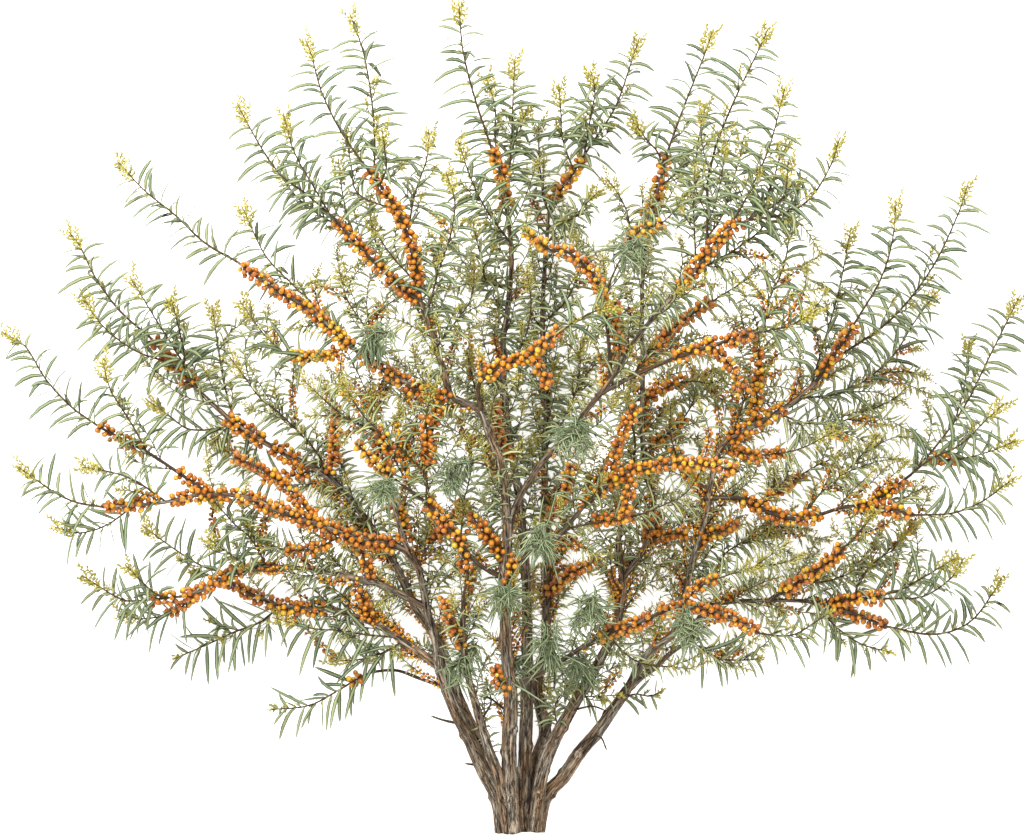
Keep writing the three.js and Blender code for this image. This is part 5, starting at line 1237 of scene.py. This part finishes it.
for _ in range(FILL_TRIES):
    reach, angle = math.sqrt(rng.uniform(0, 1)), rng.uniform(0, 2 * math.pi)
    target = CROWN_MIDDLE + CROWN_REACH * reach * np.array([math.cos(angle), math.sin(angle)])
    wanted = FILL_COVER * (1.3 - reach**2)
    if in_spots(target, DENSE):
        wanted *= DENSER
    if in_spots(target, GAPS) or not in_crown(target) or cover.mean(target[None]) > wanted:
        continue
    off = target - station_points[:, :2]
    gap = np.hypot(off[:, 0], off[:, 1])
    forward = np.sum(off * station_runs[:, :2], axis=1) / gap
    near = np.nonzero((gap > NEAR) & (gap < FAR) & (forward > FORWARD))[0]
    if len(near) == 0:
        continue
    carrier, k = STATIONS[near[rng.integers(len(near))]]
    side = reaching_branch(carrier, k, target)
    add_side(side, carrier.s[k], rng.uniform(15, 23), FILLING, rng.uniform(0, 1) < 0.5, wanted)

# ---------------------------------------------------------------- berries and wood
TWIG_RADII = (1.4, 0.9)
for name, carrier, start, end, yellow in CLUSTERS + MORE_CLUSTERS:
    branch = branches[carrier]
    first, last = branch.stretch(start, end)
    key = berry_part(branch.at(first)[0][0])
    if "berry_cluster_" + name in frame["nodes"]:
        berry_nodes[key].append("berry_cluster_" + name)
    pack_berries(berries[key], branch, first, last, rng, yellow)
for name, parent, end_height, yellow, route in BERRY_TWIGS:
    twig = drawn(name, branches[parent], TWIG_RADII, end_height, route)
    add_twig(foliage[sector(twig.points[-1])], twig)
    pack_berries(berries[berry_part(twig.points[0])], twig, 6, twig.length + 2, rng, yellow)

# Sides and step of the tubes of stems, of thick limbs and of thin ones.
STEM_TUBE, THICK_TUBE, THIN_TUBE = (20, 3.2), (12, 3.6), (8, 4.6)
THICK_LIMB = 3.0
wood = Pile()
for name, *_ in STEMS:
    add_wood(wood, branches[name], *STEM_TUBE, STEM_RELIEF)
for name, *_ in LIMBS:
    tube = THICK_TUBE if branches[name].radii[0] > THICK_LIMB else THIN_TUBE
    add_wood(wood, branches[name], *tube, LIMB_RELIEF)


# ---------------------------------------------------------------- materials
BLACK, WHITE = (0.0, 0.0, 0.0), (1.0, 1.0, 1.0)


def node_material(name, roughness, **inputs):
    """A Principled material, its node tree and its shader."""
    material = bpy.data.materials.new(name)
    material.use_nodes = True
    tree = material.node_tree
    shader = tree.nodes["Principled BSDF"]
    shader.inputs["Roughness"].default_value = roughness
    for key, value in inputs.items():
        shader.inputs[key.replace("_", " ")].default_value = value
    return material, tree, shader


def new_node(tree, kind, **settings):
    made = tree.nodes.new(kind)
    for key, value in settings.items():
        setattr(made, key, value)
    return made


def marking(tree, name, output="Fac"):
    return new_node(tree, "ShaderNodeAttribute", attribute_name=name).outputs[output]


def grey(level):
    return (level, level, level)


def ramp(tree, source, stops):
    """Colours at places from 0 to 1."""
    made = tree.nodes.new("ShaderNodeValToRGB")
    tree.links.new(source, made.inputs["Fac"])
    elements = made.color_ramp.elements
    while len(elements) < len(stops):
        elements.new(0.5)
    for element, (place, colour) in zip(elements, stops):
        element.position = place
        element.color = (*colour, 1)
    return made.outputs["Color"]


def set_or_link(tree, socket, value):
    if isinstance(value, (int, float)):
        socket.default_value = value
    elif isinstance(value, tuple):
        socket.default_value = (*value, 1)
    else:
        tree.links.new(value, socket)


def mix(tree, share, a, b, blend="MIX"):
    made = new_node(tree, "ShaderNodeMix", data_type="RGBA", blend_type=blend)
    set_or_link(tree, made.inputs[0], share)
    set_or_link(tree, made.inputs[6], a)
    set_or_link(tree, made.inputs[7], b)
    return made.outputs[2]


def math_node(tree, operation, *values):
    made = new_node(tree, "ShaderNodeMath", operation=operation)
    for socket, value in zip(made.inputs, values):
        set_or_link(tree, socket, value)
    return made.outputs[0]


def times(tree, value, share):
    return math_node(tree, "MULTIPLY", value, share)


def noise(tree, vector, scale, detail=3.0, roughness=0.55):
    made = tree.nodes.new("ShaderNodeTexNoise")
    made.inputs["Scale"].default_value = scale
    made.inputs["Detail"].default_value = detail
    made.inputs["Roughness"].default_value = roughness
    tree.links.new(vector, made.inputs["Vector"])
    return made.outputs["Fac"]


def grain_noise(tree, across, along, detail, roughness=0.55):
    """Noise drawn out along the grain of the wood; across and along are its scales."""
    made = tree.nodes.new("ShaderNodeMapping")
    made.inputs["Scale"].default_value = (across, across, along)
    tree.links.new(marking(tree, "grain", "Vector"), made.inputs["Vector"])
    return noise(tree, made.outputs["Vector"], 1.0, detail, roughness)


def object_place(tree):
    return tree.nodes.new("ShaderNodeTexCoord").outputs["Object"]


def add_bump(tree, shader, height, strength, distance):
    made = tree.nodes.new("ShaderNodeBump")
    made.inputs["Strength"].default_value = strength
    made.inputs["Distance"].default_value = distance
    tree.links.new(height, made.inputs["Height"])
    tree.links.new(made.outputs["Normal"], shader.inputs["Normal"])


def leaf_material():
    """Silvery grey-green, yellow-green while young, with a pale midrib, and painted shade that darkens the
    edges of each blade.
    """
    material, tree, shader = node_material("silvery_leaf", 0.55, Specular_IOR_Level=0.3)
    old = ramp(tree, marking(tree, "tint"), [
        (0, (0.055, 0.095, 0.036)), (0.35, (0.13, 0.185, 0.086)),
        (0.7, (0.24, 0.30, 0.15)), (1, (0.46, 0.51, 0.29))])
    young = ramp(tree, marking(tree, "tint"), [(0, (0.36, 0.34, 0.06)), (1, (0.70, 0.62, 0.20))])
    body = mix(tree, marking(tree, "youth"), old, young)
    mottle = noise(tree, object_place(tree), 260.0, 2.0)
    body = mix(tree, times(tree, mottle, 0.35), body, (0.40, 0.46, 0.27))
    off = math_node(tree, "ABSOLUTE", math_node(tree, "SUBTRACT", marking(tree, "across"), 0.5))
    rib = math_node(tree, "LESS_THAN", off, 0.08)
    body = mix(tree, times(tree, rib, 0.5), body, (0.50, 0.56, 0.37))
    # painted shade: the edges of each blade are darkened almost to black
    edge = math_node(tree, "GREATER_THAN", off, 0.37)
    body = mix(tree, times(tree, edge, 0.85), body, (0.03, 0.055, 0.02))
    tree.links.new(body, shader.inputs["Base Color"])
    add_bump(tree, shader, mottle, 0.25, 0.0004)
    return material


def twig_material():
    """Dark brown, with paler streaks along the twig."""
    material, tree, shader = node_material("brown_twig", 0.65, Specular_IOR_Level=0.15)
    grain = grain_noise(tree, 1.2, 0.14, 4.0)
    colour = ramp(tree, grain, [
        (0.3, (0.026, 0.015, 0.007)), (0.55, (0.09, 0.054, 0.024)), (0.75, (0.22, 0.145, 0.065))])
    tree.links.new(colour, shader.inputs["Base Color"])
    add_bump(tree, shader, grain, 0.4, 0.0004)
    return material


def bud_material():
    """Olive to pale yellow, greener on some buds."""
    material, tree, shader = node_material("yellow_bud", 0.5, Specular_IOR_Level=0.3)
    colour = ramp(tree, marking(tree, "tint"), [
        (0, (0.28, 0.245, 0.04)), (0.35, (0.46, 0.385, 0.065)), (1, (0.64, 0.535, 0.15))])
    colour = mix(tree, times(tree, marking(tree, "youth"), 0.3), colour, (0.38, 0.42, 0.08))
    tree.links.new(colour, shader.inputs["Base Color"])
    return material


def berry_material():
    """Glossy orange skin, with fine dots, a brown nub at the tip, and painted shade that darkens each berry
    towards its foot at the twig.
    """
    material, tree, shader = node_material(
        "berry_skin", 0.3, Specular_IOR_Level=0.5, Coat_Weight=0.3, Coat_Roughness=0.12,
        Subsurface_Weight=0.08, Subsurface_Scale=0.002, Subsurface_Radius=(1.0, 0.4, 0.1))
    colour = ramp(tree, marking(tree, "tint"), [
        (0, (0.36, 0.073, 0.002)), (0.3, (0.50, 0.142, 0.003)), (0.6, (0.62, 0.243, 0.005)),
        (0.8, (0.70, 0.352, 0.01)), (1, (0.75, 0.48, 0.03))])
    mottle = noise(tree, object_place(tree), 420.0)
    colour = mix(tree, times(tree, mottle, 0.25), colour, (0.78, 0.37, 0.01))
    dots = noise(tree, object_place(tree), 2600.0, 1.0)
    spot = math_node(tree, "GREATER_THAN", dots, 0.68)
    colour = mix(tree, times(tree, spot, 0.3), colour, (0.40, 0.10, 0.01))
    nub = math_node(tree, "GREATER_THAN", marking(tree, "along"), 0.985)
    colour = mix(tree, nub, colour, (0.06, 0.03, 0.015))
    # painted shade: each berry is darkened from its middle down to its foot, where it meets the twig and its
    # neighbours
    painted_foot_shade = ramp(tree, marking(tree, "along"), [(0.05, grey(0.9)), (0.66, BLACK)])
    colour = mix(tree, painted_foot_shade, colour, (0.17, 0.035, 0.004))
    tree.links.new(colour, shader.inputs["Base Color"])
    return material


def bark_material():
    """Grey-brown bark with tan streaks along the grain and dark fissures, dark brown on thin limbs."""
    material, tree, shader = node_material("bark", 0.85, Specular_IOR_Level=0.25)
    streak = grain_noise(tree, 0.35, 0.03, 7.0, 0.72)
    fissure = grain_noise(tree, 0.6, 0.08, 6.0, 0.7)
    patch = grain_noise(tree, 0.13, 0.012, 2.0)
    colour = ramp(tree, streak, [(0.36, (0.018, 0.013, 0.009)), (0.45, (0.11, 0.086, 0.06)),
                                 (0.53, (0.24, 0.197, 0.145)), (0.64, (0.58, 0.50, 0.39))])
    tan = ramp(tree, patch, [(0.46, BLACK), (0.56, WHITE)])
    colour = mix(tree, times(tree, tan, 0.5), colour, (0.50, 0.27, 0.08), "OVERLAY")
    dark = ramp(tree, fissure, [(0.42, WHITE), (0.49, BLACK)])
    colour = mix(tree, times(tree, dark, 0.95), colour, (0.010, 0.007, 0.005))
    thin = ramp(tree, marking(tree, "along"), [(0.26, grey(0.88)), (0.55, BLACK)])
    colour = mix(tree, thin, colour, (0.045, 0.027, 0.013))
    tree.links.new(colour, shader.inputs["Base Color"])
    add_bump(tree, shader, math_node(tree, "ADD", streak, fissure), 0.8, 0.0012)
    return material


RING_WIDTH = 1.3


def cut_material():
    """Pale sawn wood with year rings round the pith."""
    material, tree, shader = node_material("cut_wood", 0.8, Specular_IOR_Level=0.2)
    reach = times(tree, marking(tree, "across"), RING_UNIT * 2 * math.pi / RING_WIDTH)
    wobble = times(tree, noise(tree, object_place(tree), 300.0, 2.0), 3.0)
    ring = math_node(tree, "SINE", math_node(tree, "ADD", reach, wobble))
    share = times(tree, math_node(tree, "ADD", ring, 1.0), 0.5)
    colour = mix(tree, share, (0.46, 0.30, 0.15), (0.25, 0.14, 0.065))
    rays = noise(tree, object_place(tree), 900.0)
    colour = mix(tree, times(tree, rays, 0.4), colour, (0.52, 0.37, 0.20))
    tree.links.new(colour, shader.inputs["Base Color"])
    add_bump(tree, shader, rays, 0.3, 0.0004)
    return material


# ---------------------------------------------------------------- pieces
leaf, twig_bark, bud = leaf_material(), twig_material(), bud_material()
berry, bark, cut_wood = berry_material(), bark_material(), cut_material()
for key, pile in foliage.items():
    piece = pile.build("foliage_" + key, [leaf, twig_bark, bud])
    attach(piece, "root")
    if replaced[key]:
        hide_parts(*replaced[key])
for key, pile in berries.items():
    piece = pile.build("berries_" + key, [berry, twig_bark])
    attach(piece, "root")
    if berry_nodes[key]:
        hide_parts(*berry_nodes[key])
piece = wood.build("stems_and_limbs", [bark, cut_wood])
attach(piece, "root")
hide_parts("woody_frame")

# ---------------------------------------------------------------- floor, lights and camera, in metres
PHOTO_SIZE = (1024, 837)
MM_PER_PIXEL = 1.25
CUT_PIXEL = (519, 835)  # the middle of the cut in the photograph's frame
CAMERA_HEIGHT = 36.0
SHARP_HEIGHT = 0.17  # the height above the floor at which the scale is exact
SENSOR = 36.0
CLIP_END = 100.0
FLOOR_HALF = 60.0
FLOOR_GAP = 0.0005
FLOOR_GLOW = 0.7  # lit from below a little, as a light table is
FLOOR_COLOUR = (0.93, 0.93, 0.92)
LIGHT_TARGET = (0, 0, 0.1)
# Name, place, size and power of each light.
LIGHTS = [("key", (-1.1, 1.6, 3.0), 0.9, 130), ("fill", (1.2, -0.4, 3.4), 2.8, 35)]
SKY_STRENGTH = 0.8


def add_object(name, data):
    made = bpy.data.objects.new(name, data)
    bpy.context.scene.collection.objects.link(made)
    return made


def make_floor():
    mesh = bpy.data.meshes.new("floor")
    corners = [(-1, -1), (1, -1), (1, 1), (-1, 1)]
    mesh.from_pydata([(x * FLOOR_HALF, y * FLOOR_HALF, 0) for x, y in corners], [], [(0, 1, 2, 3)])
    material, _, shader = node_material("pale_floor", 0.9, Specular_IOR_Level=0.1)
    shader.inputs["Base Color"].default_value = (*FLOOR_COLOUR, 1)
    shader.inputs["Emission Color"].default_value = (*WHITE, 1)
    shader.inputs["Emission Strength"].default_value = FLOOR_GLOW
    mesh.materials.append(material)
    low = min(0.0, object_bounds()[0].z) - FLOOR_GAP
    floor = add_object("floor", mesh)
    floor.location.z = low


def make_light(name, place, size, power):
    data = bpy.data.lights.new(name, "AREA")
    data.size = size
    data.energy = power
    light = add_object(name, data)
    light.location = place
    light.rotation_euler = (Vector(LIGHT_TARGET) - Vector(place)).to_track_quat("-Z", "Y").to_euler()


def make_sky():
    sky = bpy.data.worlds.new("studio")
    sky.use_nodes = True
    background = sky.node_tree.nodes["Background"]
    background.inputs["Color"].default_value = (*WHITE, 1)
    background.inputs["Strength"].default_value = SKY_STRENGTH
    bpy.context.scene.world = sky


def make_camera():
    """A camera straight above, with a long lens, that shows the bush where the photograph does."""
    data = bpy.data.cameras.new("camera")
    data.sensor_width = SENSOR
    width = PHOTO_SIZE[0] * MM_PER_PIXEL * MM
    data.lens = SENSOR * (CAMERA_HEIGHT - SHARP_HEIGHT) / width
    data.clip_end = CLIP_END
    camera = add_object("camera", data)
    middle_x = (PHOTO_SIZE[0] / 2 - CUT_PIXEL[0]) * MM_PER_PIXEL
    middle_y = (CUT_PIXEL[1] - PHOTO_SIZE[1] / 2) * MM_PER_PIXEL
    camera.location = ((middle_x - CUT_TO_CENTRE[0]) * MM, (middle_y - CUT_TO_CENTRE[1]) * MM, CAMERA_HEIGHT)
    bpy.context.scene.camera = camera


make_floor()
for light in LIGHTS:
    make_light(*light)
make_sky()
bpy.context.scene.view_settings.view_transform = "Standard"
make_camera()
